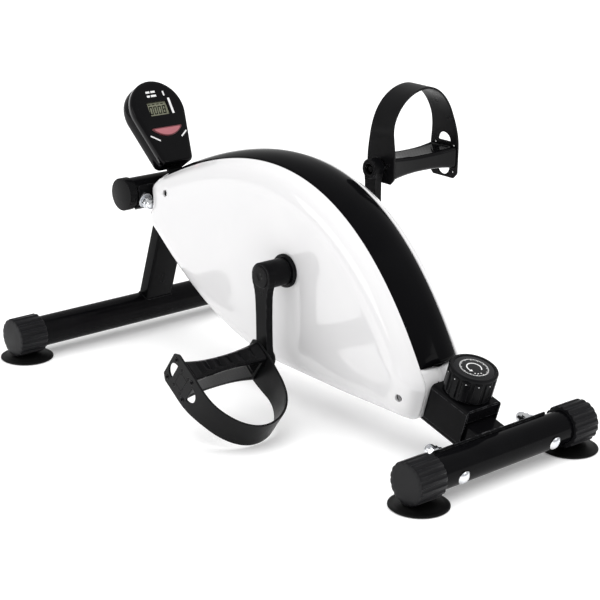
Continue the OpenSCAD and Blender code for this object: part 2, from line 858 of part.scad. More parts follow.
// Waisted block: its side view in Y and Z cuts its top view in X and Y
module pedal_body() {
    mid = (pedal_y0 + pedal_y1) / 2;
    half = (pedal_y1 - pedal_y0) / 2;
    waist = 3.2;
    steps = 20;
    function bow(t) = waist * (1 - pow(abs(t), 2.2));
    side = [for (i = [0:steps]) let (t = 2 * i / steps - 1) [mid + half * t, pedal_half_h - bow(t)]];
    top = [for (i = [0:steps]) let (t = 2 * i / steps - 1) [pedal_half_x - bow(t), mid + half * t]];
    bumps = 5;
    pitch = 14;
    color("#232426") difference() {
        union() {
            intersection() {
                x_plate(-30, 30) polygon(concat(side, reversed([for (p = side) [p[0], -p[1]]])));
                translate([0, 0, -30]) linear_extrude(60)
                    polygon(concat(top, reversed([for (p = top) [-p[0], p[1]]])));
            }
            for (i = [0:bumps - 1]) translate([-12.3, mid + (i - (bumps - 1) / 2) * pitch, -8])
                cylinder(r = 6, h = 16);
            for (x = [-12, 12], z = [-6, 6])
                translate([x, 0, z]) y_cylinder(1.5, pedal_y1 - 1, pedal_y1 + 2.5);
            for (x = [-12, 12]) translate([x, 0, 3]) y_cylinder(1.5, pedal_y0 - 2.5, pedal_y0 + 1);
            translate([-8, pedal_y1 - 1, -6]) cube([16, 4.5, 12]);
        }
        y_cylinder(spindle_r + run, pedal_y0 - 1, pedal_y1 - 7);
    }
}

module left_pedal_body() {
    on_spindle(-1, left_strap_dir) pedal_body();
}

module right_pedal_body() {
    on_spindle(1, right_strap_dir) pedal_body();
}

// Side view of the strap in Y and Z: one plate at each end of the pedal and a loop between
inner_end = -17;
outer_end = -25;
inner_turn = 35;
outer_turn = 15;
function strap_line(out) = concat(
    [[strap_y0 + strap_t - out, inner_end]],
    let (half = loop_half - strap_t + out, top = loop_h - strap_t + out) concat(
        quarter([loop_mid_y, inner_turn], half, top - inner_turn, 180, 90, 14),
        quarter([loop_mid_y, outer_turn], half, top - outer_turn, 85, 0, 14)),
    [[strap_y1 - strap_t + out, outer_end]]);

module d_hole(z, h) {
    y_plate(strap_y1 - strap_t - 1, strap_y1 + 1) intersection() {
        translate([-9.5, min(z, z + h)]) square([19, abs(h)]);
        translate([0, z]) circle(r = 9.5);
    }
}

module pedal_strap() {
    lower = 21;
    upper = strap_w / 2;
    color("#1a1b1c") difference() {
        intersection() {
            x_plate(-lower, lower) polygon(concat(strap_line(strap_t), reversed(strap_line(0))));
            y_plate(strap_y0 - 1, strap_y1 + 1) polygon([[-lower + 5, outer_end],
                [-lower, outer_end + 6], [-lower, 8], [-upper, 50], [-upper, loop_h + 1],
                [upper, loop_h + 1], [upper, 50], [lower, 8], [lower, outer_end + 6],
                [lower - 5, outer_end]]);
        }
        y_cylinder(spindle_r + 2.4, strap_y0 - 1, strap_y0 + strap_t + 1);
        for (x = [-12, 12]) translate([x, 0, 3]) y_cylinder(1.6, strap_y0 - 1, strap_y0 + strap_t + 1);
        for (x = [-12, 12], z = [-6, 6]) translate([x, 0, z])
            y_cylinder(1.6, strap_y1 - strap_t - 1, strap_y1 + 1);
        translate([-8.2, strap_y1 - strap_t - 1, -6.2]) cube([16.4, strap_t + 2, 12.4]);
        d_hole(16, 12);
        d_hole(-13, -10);
        for (x = [-14, 14], z = [-18, 12]) translate([x, 0, z])
            y_cylinder(1.5, strap_y1 - strap_t - 1, strap_y1 + 1);
    }
}

module left_pedal_strap() {
    on_spindle(-1, left_strap_dir) pedal_strap();
}

module right_pedal_strap() {
    on_spindle(1, right_strap_dir) pedal_strap();
}

// ---- monitor ------------------------------------------------------------------------

module bracket_tongue(grow) {
    translate([-16 - grow, -10 - grow, -44]) cube([3 + 2 * grow, 20 + 2 * grow, 58 + grow]);
}

module monitor_bracket() {
    color("#1b1c1e") difference() {
        on_monitor() bracket_tongue(0);
        on_beam() beam_block(eps, -beam_len, 0);
    }
}

module monitor_rear_case() {
    x0 = -monitor_t;
    color("#202124") on_monitor() difference() {
        union() {
            x_plate(x0 + 4, -split) polygon(monitor_drop(0));
            x_plate(x0 + 1.5, x0 + 4) polygon(monitor_drop(1.5));
            x_plate(x0, x0 + 1.5) polygon(monitor_drop(3.5));
        }
        x_plate(x0 + 2, 0) intersection() {
            polygon(monitor_drop(2));
            translate([-50, 16]) square([100, 100]);
        }
        bracket_tongue(0.2);
        translate([x0 - 1, -8, 46]) cube([1.8, 16, 22]);
    }
}

module button_shape(grow) {
    chord = button_w / 2;
    r = (chord * chord + button_h * button_h) / (2 * button_h);
    intersection() {
        translate([0, button_top - button_h + r]) circle(r = r + grow);
        translate([-50, button_top - 20]) square([100, 20 + grow]);
    }
}

module lcd_shape(grow) {
    translate([-15 - grow, 52.5 - grow]) square([28 + 2 * grow, 17 + 2 * grow]);
}

module monitor_front_case() {
    color("#202124") on_monitor() difference() {
        union() {
            x_plate(-split + 0.1, -2.5) polygon(monitor_drop(0));
            x_plate(-2.5, -1) polygon(monitor_drop(1.5));
            x_plate(-1, 0) polygon(monitor_drop(4));
        }
        x_plate(-split - 1, -3) polygon(monitor_drop(3));
        x_plate(-4, 1) lcd_shape(0.1);
        x_plate(-4, 1) button_shape(gap);
    }
}

module lcd_window() {
    color([0.8, 0.85, 0.85, 0.4]) on_monitor() x_plate(-1.6, -0.4) lcd_shape(0);
}

module lcd_panel() {
    color("#a9ad96") on_monitor() x_plate(-5, -3.1) lcd_shape(1.5);
}

module monitor_button() {
    color("#e58f92") on_monitor() {
        x_plate(-3.5, 1.6) button_shape(0);
        x_plate(-5, -3.5) button_shape(1.2);
    }
}

module monitor_circuit_board() {
    color("#2f6b45") on_monitor() {
        x_plate(-9.4, -8) translate([-24, 22]) square([48, 56]);
        x_plate(-8, -6.6) translate([-5, 30]) square([10, 6]);
    }
}

module monitor_battery() {
    color("silver") on_monitor() translate([-20, 0, 57]) rotate([0, 90, 0]) cylinder(r = 6.8, h = 7);
}

main_beam();
front_post();
front_stabilizer_tube();
rear_stabilizer_tube();
top_cross_tube();
rear_saddle_plate();
top_saddle_plate();
front_end_caps();
rear_end_caps();
top_tube_caps();
front_suction_feet();
rear_suction_feet();
foot_screws();
carriage_bolts();
arc_washers();
dome_nuts();
bottom_bracket_tube();
bottom_bracket_riser();
crank_bearings();
left_housing_shell();
right_housing_shell();
top_cover_strip();
housing_screws();
crank_collars();
crank_axle();
drive_pulley();
left_crank_arm();
right_crank_arm();
crank_bolts();
dust_plugs();
left_pedal_spindle();
right_pedal_spindle();
left_pedal_body();
right_pedal_body();
left_pedal_strap();
right_pedal_strap();
flywheel();
flywheel_axle();
flywheel_pulley();
flywheel_bracket();
flywheel_bearings();
drive_belt();
magnet_arm();
brake_magnets();
magnet_arm_pivot();
knob_bracket();
tension_knob();
knob_dial();
cable_spool();
tension_cable();
monitor_bracket();
monitor_rear_case();
monitor_front_case();
lcd_panel();
lcd_window();
monitor_button();
monitor_circuit_board();
monitor_battery();
speed_sensor();
sensor_magnet();
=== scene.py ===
import json
import math

import bmesh
import bpy
from mathutils import Matrix, Vector
from mathutils.geometry import delaunay_2d_cdt


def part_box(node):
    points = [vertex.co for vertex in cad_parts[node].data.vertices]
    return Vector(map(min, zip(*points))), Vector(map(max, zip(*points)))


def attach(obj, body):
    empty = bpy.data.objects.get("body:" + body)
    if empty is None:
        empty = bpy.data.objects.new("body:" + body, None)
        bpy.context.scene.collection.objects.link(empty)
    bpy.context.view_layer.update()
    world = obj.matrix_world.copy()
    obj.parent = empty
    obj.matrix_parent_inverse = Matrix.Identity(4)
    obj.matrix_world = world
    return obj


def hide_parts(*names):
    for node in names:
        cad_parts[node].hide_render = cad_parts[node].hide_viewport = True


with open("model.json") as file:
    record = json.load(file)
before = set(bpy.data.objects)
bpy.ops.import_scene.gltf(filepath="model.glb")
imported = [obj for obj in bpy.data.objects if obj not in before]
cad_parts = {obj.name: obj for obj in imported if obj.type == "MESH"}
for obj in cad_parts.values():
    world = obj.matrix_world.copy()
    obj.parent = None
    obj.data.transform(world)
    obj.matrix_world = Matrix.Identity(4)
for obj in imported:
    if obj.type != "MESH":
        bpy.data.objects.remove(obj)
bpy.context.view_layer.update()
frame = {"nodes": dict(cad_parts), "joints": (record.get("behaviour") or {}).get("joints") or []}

MM = 0.001
JOINTS = {joint["name"]: joint for joint in frame["joints"]}

# ---- places, taken from the frame ----


def middle(node):
    low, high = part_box(node)
    return (low + high) / 2


def half_width(node):
    """From the middle of the machine to the node's +Y side, in millimetres."""
    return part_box(node)[1].y / MM


def at_joint(name):
    return Vector(JOINTS[name]["pos_m"])


REAR = middle("rear_stabilizer_tube")
FRONT = middle("front_stabilizer_tube")
TOP = middle("top_cross_tube")
CRANK = at_joint("crank_spin")
TILT = math.atan2(TOP.z - REAR.z, REAR.x - TOP.x)
BEAM_LEN = math.hypot(TOP.z - REAR.z, REAR.x - TOP.x) / MM
MIRROR = Matrix.Diagonal((1, -1, 1, 1))
IDENTITY = Matrix.Identity(4)
# Local axes (u, v, w): PLATE lays an outline in X and Z and builds it up along Y,
# FACE lays an outline in Y and Z and builds it up along X.
PLATE = Matrix(((1, 0, 0, 0), (0, 0, 1, 0), (0, 1, 0, 0), (0, 0, 0, 1)))
FACE = Matrix(((0, 0, 1, 0), (1, 0, 0, 0), (0, 1, 0, 0), (0, 0, 0, 1)))
# The same, built up outward on the left and on the right of the machine
OUTWARD = {-1: MIRROR @ PLATE, 1: PLATE}
ROW = Matrix.Scale(MM, 4)


def local(origin, turn=0.0, side=1):
    """A frame in millimetres: its origin in metres, a turn about Y in radians, and its side."""
    m = Matrix.Translation(origin) @ Matrix.Rotation(turn, 4, "Y") @ ROW
    return m @ MIRROR if side < 0 else m


def shift(x=0.0, y=0.0, z=0.0):
    return Matrix.Translation((x, y, z))


BEAM = local(REAR, TILT)
TOP_TUBE = BEAM @ shift(x=-BEAM_LEN)
MONITOR_LEAN = math.radians(34.4)
MONITOR_FOOT = Vector((-0.232, 0, 0.220))
MONITOR = local(MONITOR_FOOT, -MONITOR_LEAN)
SPINDLES = {-1: at_joint("left_pedal_spin"), 1: at_joint("right_pedal_spin")}
CRANK_LEAN = math.atan2(CRANK.x - SPINDLES[1].x, SPINDLES[1].z - CRANK.z)
STRAP_DIRECTION = {-1: -35, 1: 90}
SIDE_NAME = {-1: "left", 1: "right"}


def on_crank(side):
    return local(CRANK, (math.pi if side < 0 else 0) - CRANK_LEAN, side)


def on_spindle(side):
    at = Vector((SPINDLES[side].x, 0, SPINDLES[side].z))
    return local(at, math.radians(90 - STRAP_DIRECTION[side]), side)


# ---- mesh helpers, in millimetres ----


def skin(bm, rows, wrap_rows=False, wrap_cols=False):
    """Quads between rows of points."""
    verts = [[bm.verts.new(p) for p in row] for row in rows]
    count = len(verts)
    for i in range(count if wrap_rows else count - 1):
        a, b = verts[i], verts[(i + 1) % count]
        width = len(a)
        for j in range(width if wrap_cols else width - 1):
            k = (j + 1) % width
            bm.faces.new((a[j], a[k], b[k], b[j]))
    return verts


def close_ends(bm, verts):
    for row in (verts[0], verts[-1]):
        bm.faces.new(row)


def lathe(bm, profile, place=IDENTITY, segs=72, loop=False, shape=None):
    """Turns a profile of (radius, height) about the local Z axis."""
    rings = []
    for r, h in profile:
        if r < 1e-6:
            rings.append([bm.verts.new(place @ Vector((0, 0, h)))])
            continue
        ring = []
        for i in range(segs):
            a = 2 * math.pi * i / segs
            q = shape(a, r, h) if shape else r
            ring.append(bm.verts.new(place @ Vector((q * math.cos(a), q * math.sin(a), h))))
        rings.append(ring)
    pairs = list(zip(rings, rings[1:]))
    if loop:
        pairs.append((rings[-1], rings[0]))
    for a, b in pairs:
        for i in range(segs):
            j = (i + 1) % segs
            if len(a) == 1 and len(b) == 1:
                break
            if len(a) == 1:
                bm.faces.new((a[0], b[i], b[j]))
            elif len(b) == 1:
                bm.faces.new((a[i], b[0], a[j]))
            else:
                bm.faces.new((a[i], a[j], b[j], b[i]))


def prism(bm, outline, low, high, place=IDENTITY):
    """Builds an outline in local X and Y up along local Z."""
    rings = [[bm.verts.new(place @ Vector((x, y, h))) for x, y in outline] for h in (low, high)]
    count = len(outline)
    for i in range(count):
        j = (i + 1) % count
        bm.faces.new((rings[0][i], rings[0][j], rings[1][j], rings[1][i]))
    bm.faces.new(rings[0])
    bm.faces.new(rings[1])


def cut_sheet(bm, outline, holes, step, bend):
    """A flat sheet with holes, in (u, v), filled with even points and bent into place."""
    points, edges = [], []

    def add_loop(loop):
        first = len(points)
        points.extend(Vector(p) for p in loop)
        edges.extend((first + i, first + (i + 1) % len(loop)) for i in range(len(loop)))

    for loop in [outline] + holes:
        add_loop(loop)
    us, vs = [p[0] for p in outline], [p[1] for p in outline]
    columns = max(1, round((max(us) - min(us)) / step))
    lines = max(1, round((max(vs) - min(vs)) / step))
    fill = [
        (min(us) + (max(us) - min(us)) * i / columns, min(vs) + (max(vs) - min(vs)) * j / lines)
        for i in range(1, columns)
        for j in range(1, lines)
    ]
    for p in fill:
        if inside(p, outline) and not any(inside(p, hole) for hole in holes):
            if clear_of(p, [outline] + holes, step * 0.35):
                points.append(Vector(p))
    out, _, faces, _, _, _ = delaunay_2d_cdt(points, edges, [], 1, 1e-5)
    verts = [bm.verts.new(bend(p.x, p.y)) for p in out]
    for face in faces:
        centre = sum((out[i] for i in face), Vector((0, 0))) / len(face)
        if inside(centre, outline) and not any(inside(centre, hole) for hole in holes):
            bm.faces.new([verts[i] for i in face])
    loose = [v for v in bm.verts if not v.link_faces]
    bmesh.ops.delete(bm, geom=loose, context="VERTS")


def inside(p, loop):
    x, y = p[0], p[1]
    hit = False
    for i in range(len(loop)):
        (ax, ay), (bx, by) = loop[i], loop[i - 1]
        if (ay > y) != (by > y) and x < (bx - ax) * (y - ay) / (by - ay) + ax:
            hit = not hit
    return hit


def clear_of(p, loops, least):
    for loop in loops:
        for i in range(len(loop)):
            a, b = Vector(loop[i - 1]), Vector(loop[i])
            along = b - a
            t = max(0, min(1, (Vector(p) - a).dot(along) / max(along.length_squared, 1e-9)))
            if (a + along * t - Vector(p)).length < least:
                return False
    return True


def arc(cx, cy, r, start, end, steps):
    """Points on an arc, from start to end in degrees, both ends included."""
    turn = [math.radians(start + (end - start) * i / steps) for i in range(steps + 1)]
    return [(cx + r * math.cos(a), cy + r * math.sin(a)) for a in turn]


def ring(cx, cy, r, steps=28):
    return arc(cx, cy, r, 0, 360 * (steps - 1) / steps, steps - 1)


def box_outline(x0, x1, y0, y1, r=0.0, steps=5):
    if r <= 0:
        return [(x0, y0), (x1, y0), (x1, y1), (x0, y1)]
    corners = ((x1 - r, y0 + r, -90), (x1 - r, y1 - r, 0), (x0 + r, y1 - r, 90),
               (x0 + r, y0 + r, 180))
    return [p for cx, cy, a in corners for p in arc(cx, cy, r, a, a + 90, steps)]


def centred_box(half_x, half_y, r=0.0, steps=5):
    return box_outline(-half_x, half_x, -half_y, half_y, r, steps)


def bezier(p, steps):
    out = []
    for i in range(steps + 1):
        t = i / steps
        s = 1 - t
        weights = (s**3, 3 * s * s * t, 3 * s * t * t, t**3)
        out.append(tuple(sum(w * q[k] for w, q in zip(weights, p)) for k in (0, 1)))
    return out


def along(points, closed=False):
    """Running length at each point of a polyline."""
    total, out = 0.0, [0.0]
    pairs = list(zip(points, points[1:] + points[:1])) if closed else list(zip(points, points[1:]))
    for a, b in pairs:
        total += math.dist(a, b)
        out.append(total)
    return out


def resample(points, count, closed=False):
    """Evenly spaced points along a polyline."""
    lengths = along(points, closed)
    line = points + points[:1] if closed else points
    out, k = [], 0
    for i in range(count):
        want = lengths[-1] * i / (count if closed else count - 1)
        while k < len(line) - 2 and lengths[k + 1] < want:
            k += 1
        span = max(lengths[k + 1] - lengths[k], 1e-9)
        t = min(1.0, (want - lengths[k]) / span)
        out.append(tuple(a + (b - a) * t for a, b in zip(line[k], line[k + 1])))
    return out


def mix(a, b, t):
    return a + (b - a) * t


def ramp(x, low, high):
    t = max(0.0, min(1.0, (x - low) / (high - low)))
    return t * t * (3 - 2 * t)


# ---- materials ----

FINISH = {}
CLEAR_COAT_ROUGH = 0.04


def surface(name, base, rough, second=None, metal=0.0, coat=0.0, grain=0.0, grain_scale=900,
            wave=0.0, wave_scale=6, edge=None, edge_wear_and_highlight_radius=0.0, specular=0.5, patch=14,
            rough_spread=0.08, clear=0.0):
    """A finish with colour and roughness variation, grain, slow waviness, and edges lightened for
    wear and painted highlight.
    """
    mat = FINISH[name] = bpy.data.materials.new(name)
    mat.use_nodes = True
    nodes, links = mat.node_tree.nodes, mat.node_tree.links
    shader = nodes["Principled BSDF"]

    def put(node, **values):
        """Fills a node's sockets: an output is linked, a number or colour is set."""
        for key, value in values.items():
            socket = node.inputs[key.replace("_", " ")]
            if isinstance(value, bpy.types.NodeSocket):
                links.new(value, socket)
            else:
                socket.default_value = (*value, 1) if isinstance(value, tuple) else value
        return node

    def add(kind, **values):
        return put(nodes.new("ShaderNode" + kind), **values)

    def noise(scale, detail=4.0, distortion=0.0):
        return add("TexNoise", Scale=scale, Detail=detail, Distortion=distortion,
                   Vector=place.outputs["Object"]).outputs["Fac"]

    def blend_colour(fac, a, b):
        m = add("Mix")
        m.data_type = "RGBA"
        return put(m, Factor=fac, A=a, B=b).outputs["Result"]

    def remap(value, low, high, to_low, to_high):
        return add("MapRange", Value=value, From_Min=low, From_Max=high, To_Min=to_low,
                   To_Max=to_high).outputs["Result"]

    place = add("TexCoord")
    put(shader, Metallic=metal, Specular_IOR_Level=specular, Coat_Weight=coat,
        Coat_Roughness=CLEAR_COAT_ROUGH, Transmission_Weight=clear)
    other = second or tuple(c * 0.82 for c in base)
    clouds = remap(noise(patch, 5.0, 0.6), 0.36, 0.64, 0.0, 1.0)
    colour = blend_colour(clouds, base, other)
    spots = noise(patch * 3.1, 6.0)
    # Lightened edges: wear, and on the frame paint also a painted highlight along its edges
    if edge_wear_and_highlight_radius:
        bevel = add("Bevel", Radius=edge_wear_and_highlight_radius)
        bevel.samples = 4
        dot = add("VectorMath")
        dot.operation = "DOT_PRODUCT"
        links.new(bevel.outputs["Normal"], dot.inputs[0])
        links.new(add("NewGeometry").outputs["Normal"], dot.inputs[1])
        edge_wear_and_highlight_mask = remap(dot.outputs["Value"], 0.985, 0.90, 0.0, 1.0)
        breakup = add("Math")
        breakup.operation = "MULTIPLY"
        links.new(edge_wear_and_highlight_mask, breakup.inputs[0])
        links.new(remap(noise(170, 5.0), 0.42, 0.6, 0.1, 0.8), breakup.inputs[1])
        edge_wear_and_highlight_colour = edge or tuple(min(1, c * 2.2 + 0.02) for c in base)
        colour = blend_colour(breakup.outputs["Value"], colour, edge_wear_and_highlight_colour)
    put(shader, Base_Color=colour,
        Roughness=remap(spots, 0.3, 0.7, rough - rough_spread, rough + rough_spread))
    normal = None
    for strength, scale, depth in ((grain, grain_scale, 0.0002), (wave, wave_scale, 0.002)):
        if strength:
            bump = add("Bump", Strength=strength, Distance=depth, Height=noise(scale, 3.0))
            if normal:
                put(bump, Normal=normal)
            normal = bump.outputs["Normal"]
    if normal:
        put(shader, Normal=normal)
    return mat


# The frame paint's lighter edge colour and wide edge band are a painted highlight along its edges,
# as well as wear
surface("frame_paint", (0.0025, 0.0025, 0.003), 0.15, (0.004, 0.004, 0.0045), coat=0.06,
        specular=0.03, rough_spread=0.04, grain=0.03, grain_scale=420, wave=0.05, wave_scale=30,
        edge_wear_and_highlight_radius=0.0012, edge=(0.1, 0.1, 0.105))
surface("inner_paint", (0.05, 0.05, 0.055), 0.45, grain=0.15, edge_wear_and_highlight_radius=0.001)
surface("cap_plastic", (0.006, 0.006, 0.007), 0.4, (0.009, 0.009, 0.01), specular=0.14, grain=0.3,
        grain_scale=1400, edge_wear_and_highlight_radius=0.0008, edge=(0.04, 0.04, 0.042))
surface("foot_rubber", (0.0015, 0.0015, 0.0015), 0.5, (0.003, 0.003, 0.003), specular=0.15,
        grain=0.35, grain_scale=1100, edge_wear_and_highlight_radius=0.0008, edge=(0.03, 0.03, 0.03))
surface("zinc", (0.78, 0.79, 0.8), 0.2, (0.66, 0.68, 0.72), metal=1.0, patch=90, grain=0.12,
        grain_scale=500, edge_wear_and_highlight_radius=0.0005, edge=(0.9, 0.9, 0.9))
surface("steel", (0.56, 0.57, 0.58), 0.28, (0.46, 0.47, 0.49), metal=1.0, patch=60, grain=0.2,
        grain_scale=700, edge_wear_and_highlight_radius=0.0005, edge=(0.8, 0.8, 0.8))
surface("iron", (0.24, 0.245, 0.255), 0.42, (0.17, 0.172, 0.18), metal=1.0, patch=40, grain=0.4,
        grain_scale=500, edge_wear_and_highlight_radius=0.001, edge=(0.6, 0.6, 0.6))
surface("white_shell", (0.765, 0.76, 0.765), 0.1, (0.75, 0.745, 0.752), coat=0.5, rough_spread=0.03,
        grain=0.02, grain_scale=260, wave=0.015, wave_scale=9, edge_wear_and_highlight_radius=0.0008, edge=(0.88, 0.88, 0.88))
surface("black_gloss", (0.0025, 0.0025, 0.003), 0.12, (0.0035, 0.0035, 0.004), coat=0.03,
        specular=0.03, rough_spread=0.03, grain=0.02, grain_scale=300, wave=0.02, wave_scale=10,
        edge_wear_and_highlight_radius=0.0008, edge=(0.02, 0.02, 0.022))
surface("case_gloss", (0.0015, 0.0015, 0.002), 0.08, (0.0025, 0.0025, 0.003), specular=0.14,
        rough_spread=0.03, grain=0.02, grain_scale=300, wave=0.02, wave_scale=10, edge_wear_and_highlight_radius=0.0008,
        edge=(0.01, 0.01, 0.011))
surface("pedal_gloss", (0.002, 0.002, 0.0025), 0.2, (0.003, 0.003, 0.0035), coat=0.08,
        specular=0.08, rough_spread=0.05, grain=0.12, grain_scale=900, wave=0.05, wave_scale=60,
        edge_wear_and_highlight_radius=0.0008, edge=(0.02, 0.02, 0.022))
surface("crank_paint", (0.0025, 0.0025, 0.003), 0.34, (0.004, 0.004, 0.0045), specular=0.07,
        grain=0.12, grain_scale=600, edge_wear_and_highlight_radius=0.0012, edge=(0.06, 0.06, 0.062))
surface("black_plastic", (0.0025, 0.0025, 0.003), 0.26, (0.004, 0.004, 0.0045), coat=0.05,
        specular=0.07, grain=0.22, grain_scale=1300, edge_wear_and_highlight_radius=0.0008, edge=(0.04, 0.04, 0.042))
surface("strap_plastic", (0.003, 0.003, 0.0035), 0.34, (0.005, 0.005, 0.0055), specular=0.1,
        grain=0.25, grain_scale=1000, wave=0.08, wave_scale=22, edge_wear_and_highlight_radius=0.0008,
        edge=(0.04, 0.04, 0.042))
surface("pulley_plastic", (0.66, 0.65, 0.6), 0.45, (0.58, 0.57, 0.52), grain=0.2)
surface("belt_rubber", (0.02, 0.02, 0.02), 0.6, grain=0.4)
surface("dial_plastic", (0.009, 0.009, 0.01), 0.34, (0.013, 0.013, 0.014), specular=0.15,
        grain=0.15, grain_scale=900)
surface("lcd", (0.2, 0.205, 0.145), 0.3, (0.18, 0.185, 0.13), specular=0.2, patch=50, grain=0.05)
surface("clear", (0.95, 0.96, 0.96), 0.05, (0.93, 0.94, 0.94), clear=1.0, rough_spread=0.02)
surface("button_pink", (0.44, 0.16, 0.18), 0.36, (0.4, 0.14, 0.16), specular=0.2, grain=0.12,
        edge_wear_and_highlight_radius=0.0006, edge=(0.6, 0.3, 0.32))
surface("board", (0.05, 0.22, 0.1), 0.4, (0.04, 0.17, 0.08), grain=0.2)
surface("white_print", (0.8, 0.8, 0.8), 0.4, (0.74, 0.74, 0.74), patch=120, grain=0.1)
surface("button_rim", (0.14, 0.03, 0.035), 0.35, (0.11, 0.025, 0.03), grain=0.1)
surface("lcd_ink", (0.002, 0.002, 0.002), 0.35, (0.004, 0.004, 0.003), specular=0.04, patch=120,
        grain=0.05)

for node in frame["nodes"].values():
    for cell in node.material_slots:
        slot_name = cell.material.name.split(".")[0] if cell.material else "inner_paint"
        cell.link = "OBJECT"
        cell.material = FINISH.get(slot_name, FINISH["inner_paint"])


def piece(name, bm, place, slot, body="frame", stands_for=None, finish=None, bevel=0.0, steps=3,
          solid=0.0, solid_side=-1.0, closed=True, sharp=32, limit=30):
    """Makes an object from a mesh in millimetres, in its place, on its body.

    It stands for the CAD node of its own name, unless stands_for says otherwise."""
    bm.transform(place)
    if closed:
        bmesh.ops.recalc_face_normals(bm, faces=bm.faces)
    elif place.determinant() < 0:
        bmesh.ops.reverse_faces(bm, faces=bm.faces)
    mesh = bpy.data.meshes.new(name)
    bm.to_mesh(mesh)
    bm.free()
    for face in mesh.polygons:
        face.use_smooth = True
    mesh.set_sharp_from_angle(angle=math.radians(sharp))
    mesh.materials.append(FINISH[finish or slot])
    obj = bpy.data.objects.new(name, mesh)
    bpy.context.scene.collection.objects.link(obj)
    if solid:
        thick = obj.modifiers.new("thickness", "SOLIDIFY")
        thick.thickness = solid * MM
        thick.offset = solid_side
        thick.use_even_offset = True
    if bevel:
        rounding = obj.modifiers.new("rounding", "BEVEL")
        rounding.width = bevel * MM
        rounding.segments = steps
        rounding.limit_method = "ANGLE"
        rounding.angle_limit = math.radians(limit)
        rounding.harden_normals = True
        rounding.miter_outer = "MITER_ARC"
    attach(obj, body)
    nodes = [name] if stands_for is None else stands_for
    if nodes:
        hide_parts(*nodes)
    return obj


def turned(name, profile, spots, place, slot, segs=72, loop=False, shape=None, **look):
    """A piece with one turned solid at each of the given spots."""
    bm = bmesh.new()
    for spot in spots:
        lathe(bm, profile, spot, segs, loop, shape)
    piece(name, bm, place, slot, **look)


def face_outward(bm, axis):
    """Turns the faces of an open sheet so that its far face along an axis looks that way."""
    bm.normal_update()
    far = max(bm.faces, key=lambda f: f.calc_center_median()[axis])
    if far.normal[axis] < 0:
        bmesh.ops.reverse_faces(bm, faces=bm.faces)


# ---- frame: tubes, beam, post, saddles ----

TUBE_R = 17.5
WALL = 1.5
BEAM_W, BEAM_H, BEAM_CORNER = 40, 30, 3.5
SADDLE_T, REAR_SADDLE_HALF, TOP_SADDLE_HALF = 3, 78, 48.5
SADDLE_R = TUBE_R + SADDLE_T


def tube(name, centre, turn=0.0):
    half, edge = half_width(name), 0.3
    profile = [(TUBE_R - WALL, -half), (TUBE_R - edge, -half), (TUBE_R, -half + edge),
               (TUBE_R, half - edge), (TUBE_R - edge, half), (TUBE_R - WALL, half)]
    turned(name, profile, [PLATE], local(centre, turn), "frame_paint", 96, loop=True)


tube("front_stabilizer_tube", FRONT)
tube("rear_stabilizer_tube", REAR)
tube("top_cross_tube", TOP, TILT)


def box_beam(name, place, stations, half_u, half_v, corner):
    """A hollow rounded box. A station gives the start and end of the run at each corner."""
    outer = centred_box(half_u, half_v, corner, 6)
    inner = centred_box(half_u - WALL, half_v - WALL, corner - 1, 6)
    bm = bmesh.new()
    count = 40
    rows = []
    for ring_points, back in ((outer, False), (inner, True)):
        spans = [stations(u, v) for u, v in ring_points]
        part = [[Vector((u, v, mix(a, b, i / count)))
                 for (u, v), (a, b) in zip(ring_points, spans)] for i in range(count + 1)]
        rows += part[::-1] if back else part
    skin(bm, rows, wrap_rows=True, wrap_cols=True)
    piece(name, bm, place, "frame_paint")


def beam_station(u, v):
    """The beam's ends are cut to fit round the two tubes' saddle plates."""
    bite = math.sqrt(max(0.0, SADDLE_R**2 - v * v))
    return -BEAM_LEN + bite, -bite


# The beam's section lies in (Y, Z) and its run is X
box_beam("main_beam", BEAM @ FACE, beam_station, BEAM_W / 2, BEAM_H / 2, BEAM_CORNER)

POST_LEAN = math.radians(17.4)
POST_T, POST_W, POST_CORNER = 17, 38, 3
POST = local(FRONT, POST_LEAN)


def post_station(u, v):
    """The post stands on the front tube and is cut off square to the beam's underside."""
    bite = math.sqrt(max(0.0, TUBE_R**2 - u * u))
    a, b = (BEAM.inverted() @ (POST @ Vector((u, v, h))) for h in (0, 1))
    reach = (-BEAM_H / 2 - a.z) / (b.z - a.z)
    return bite, reach


box_beam("front_post", POST, post_station, POST_T / 2, POST_W / 2, POST_CORNER)


def weld_bead(name, points, radius, place):
    """A rippled weld bead along a closed line of points round the local Z axis."""
    bm = bmesh.new()
    line = resample(points, 150, closed=True)
    rows = []
    for i, p in enumerate(line):
        p = Vector(p)
        ahead = (Vector(line[(i + 1) % len(line)]) - Vector(line[i - 1])).normalized()
        out = ahead.cross(Vector((0, 0, 1))).normalized()
        up = out.cross(ahead)
        r = radius * (1 + 0.16 * math.sin(i * 1.7) + 0.08 * math.sin(i * 0.61))
        rows.append([p + (out * math.cos(a) + up * math.sin(a)) * r
                     for a in (2 * math.pi * k / 10 for k in range(10))])
    skin(bm, rows, wrap_rows=True, wrap_cols=True)
    piece(name, bm, place, "frame_paint", stands_for=(), sharp=80)


WELD_R = 1.5
post_outline = centred_box(POST_T / 2, POST_W / 2, POST_CORNER, 6)
for bead, end in (("post_foot_weld", 0), ("post_weld", 1)):
    weld_bead(bead, [(u, v, post_station(u, v)[end]) for u, v in post_outline], WELD_R, POST)


def rounded_end(from_edge, r):
    """How far a corner of radius r pulls an outline in, at a distance from the edge."""
    return r - math.sqrt(max(0, r**2 - max(0, r - from_edge) ** 2))


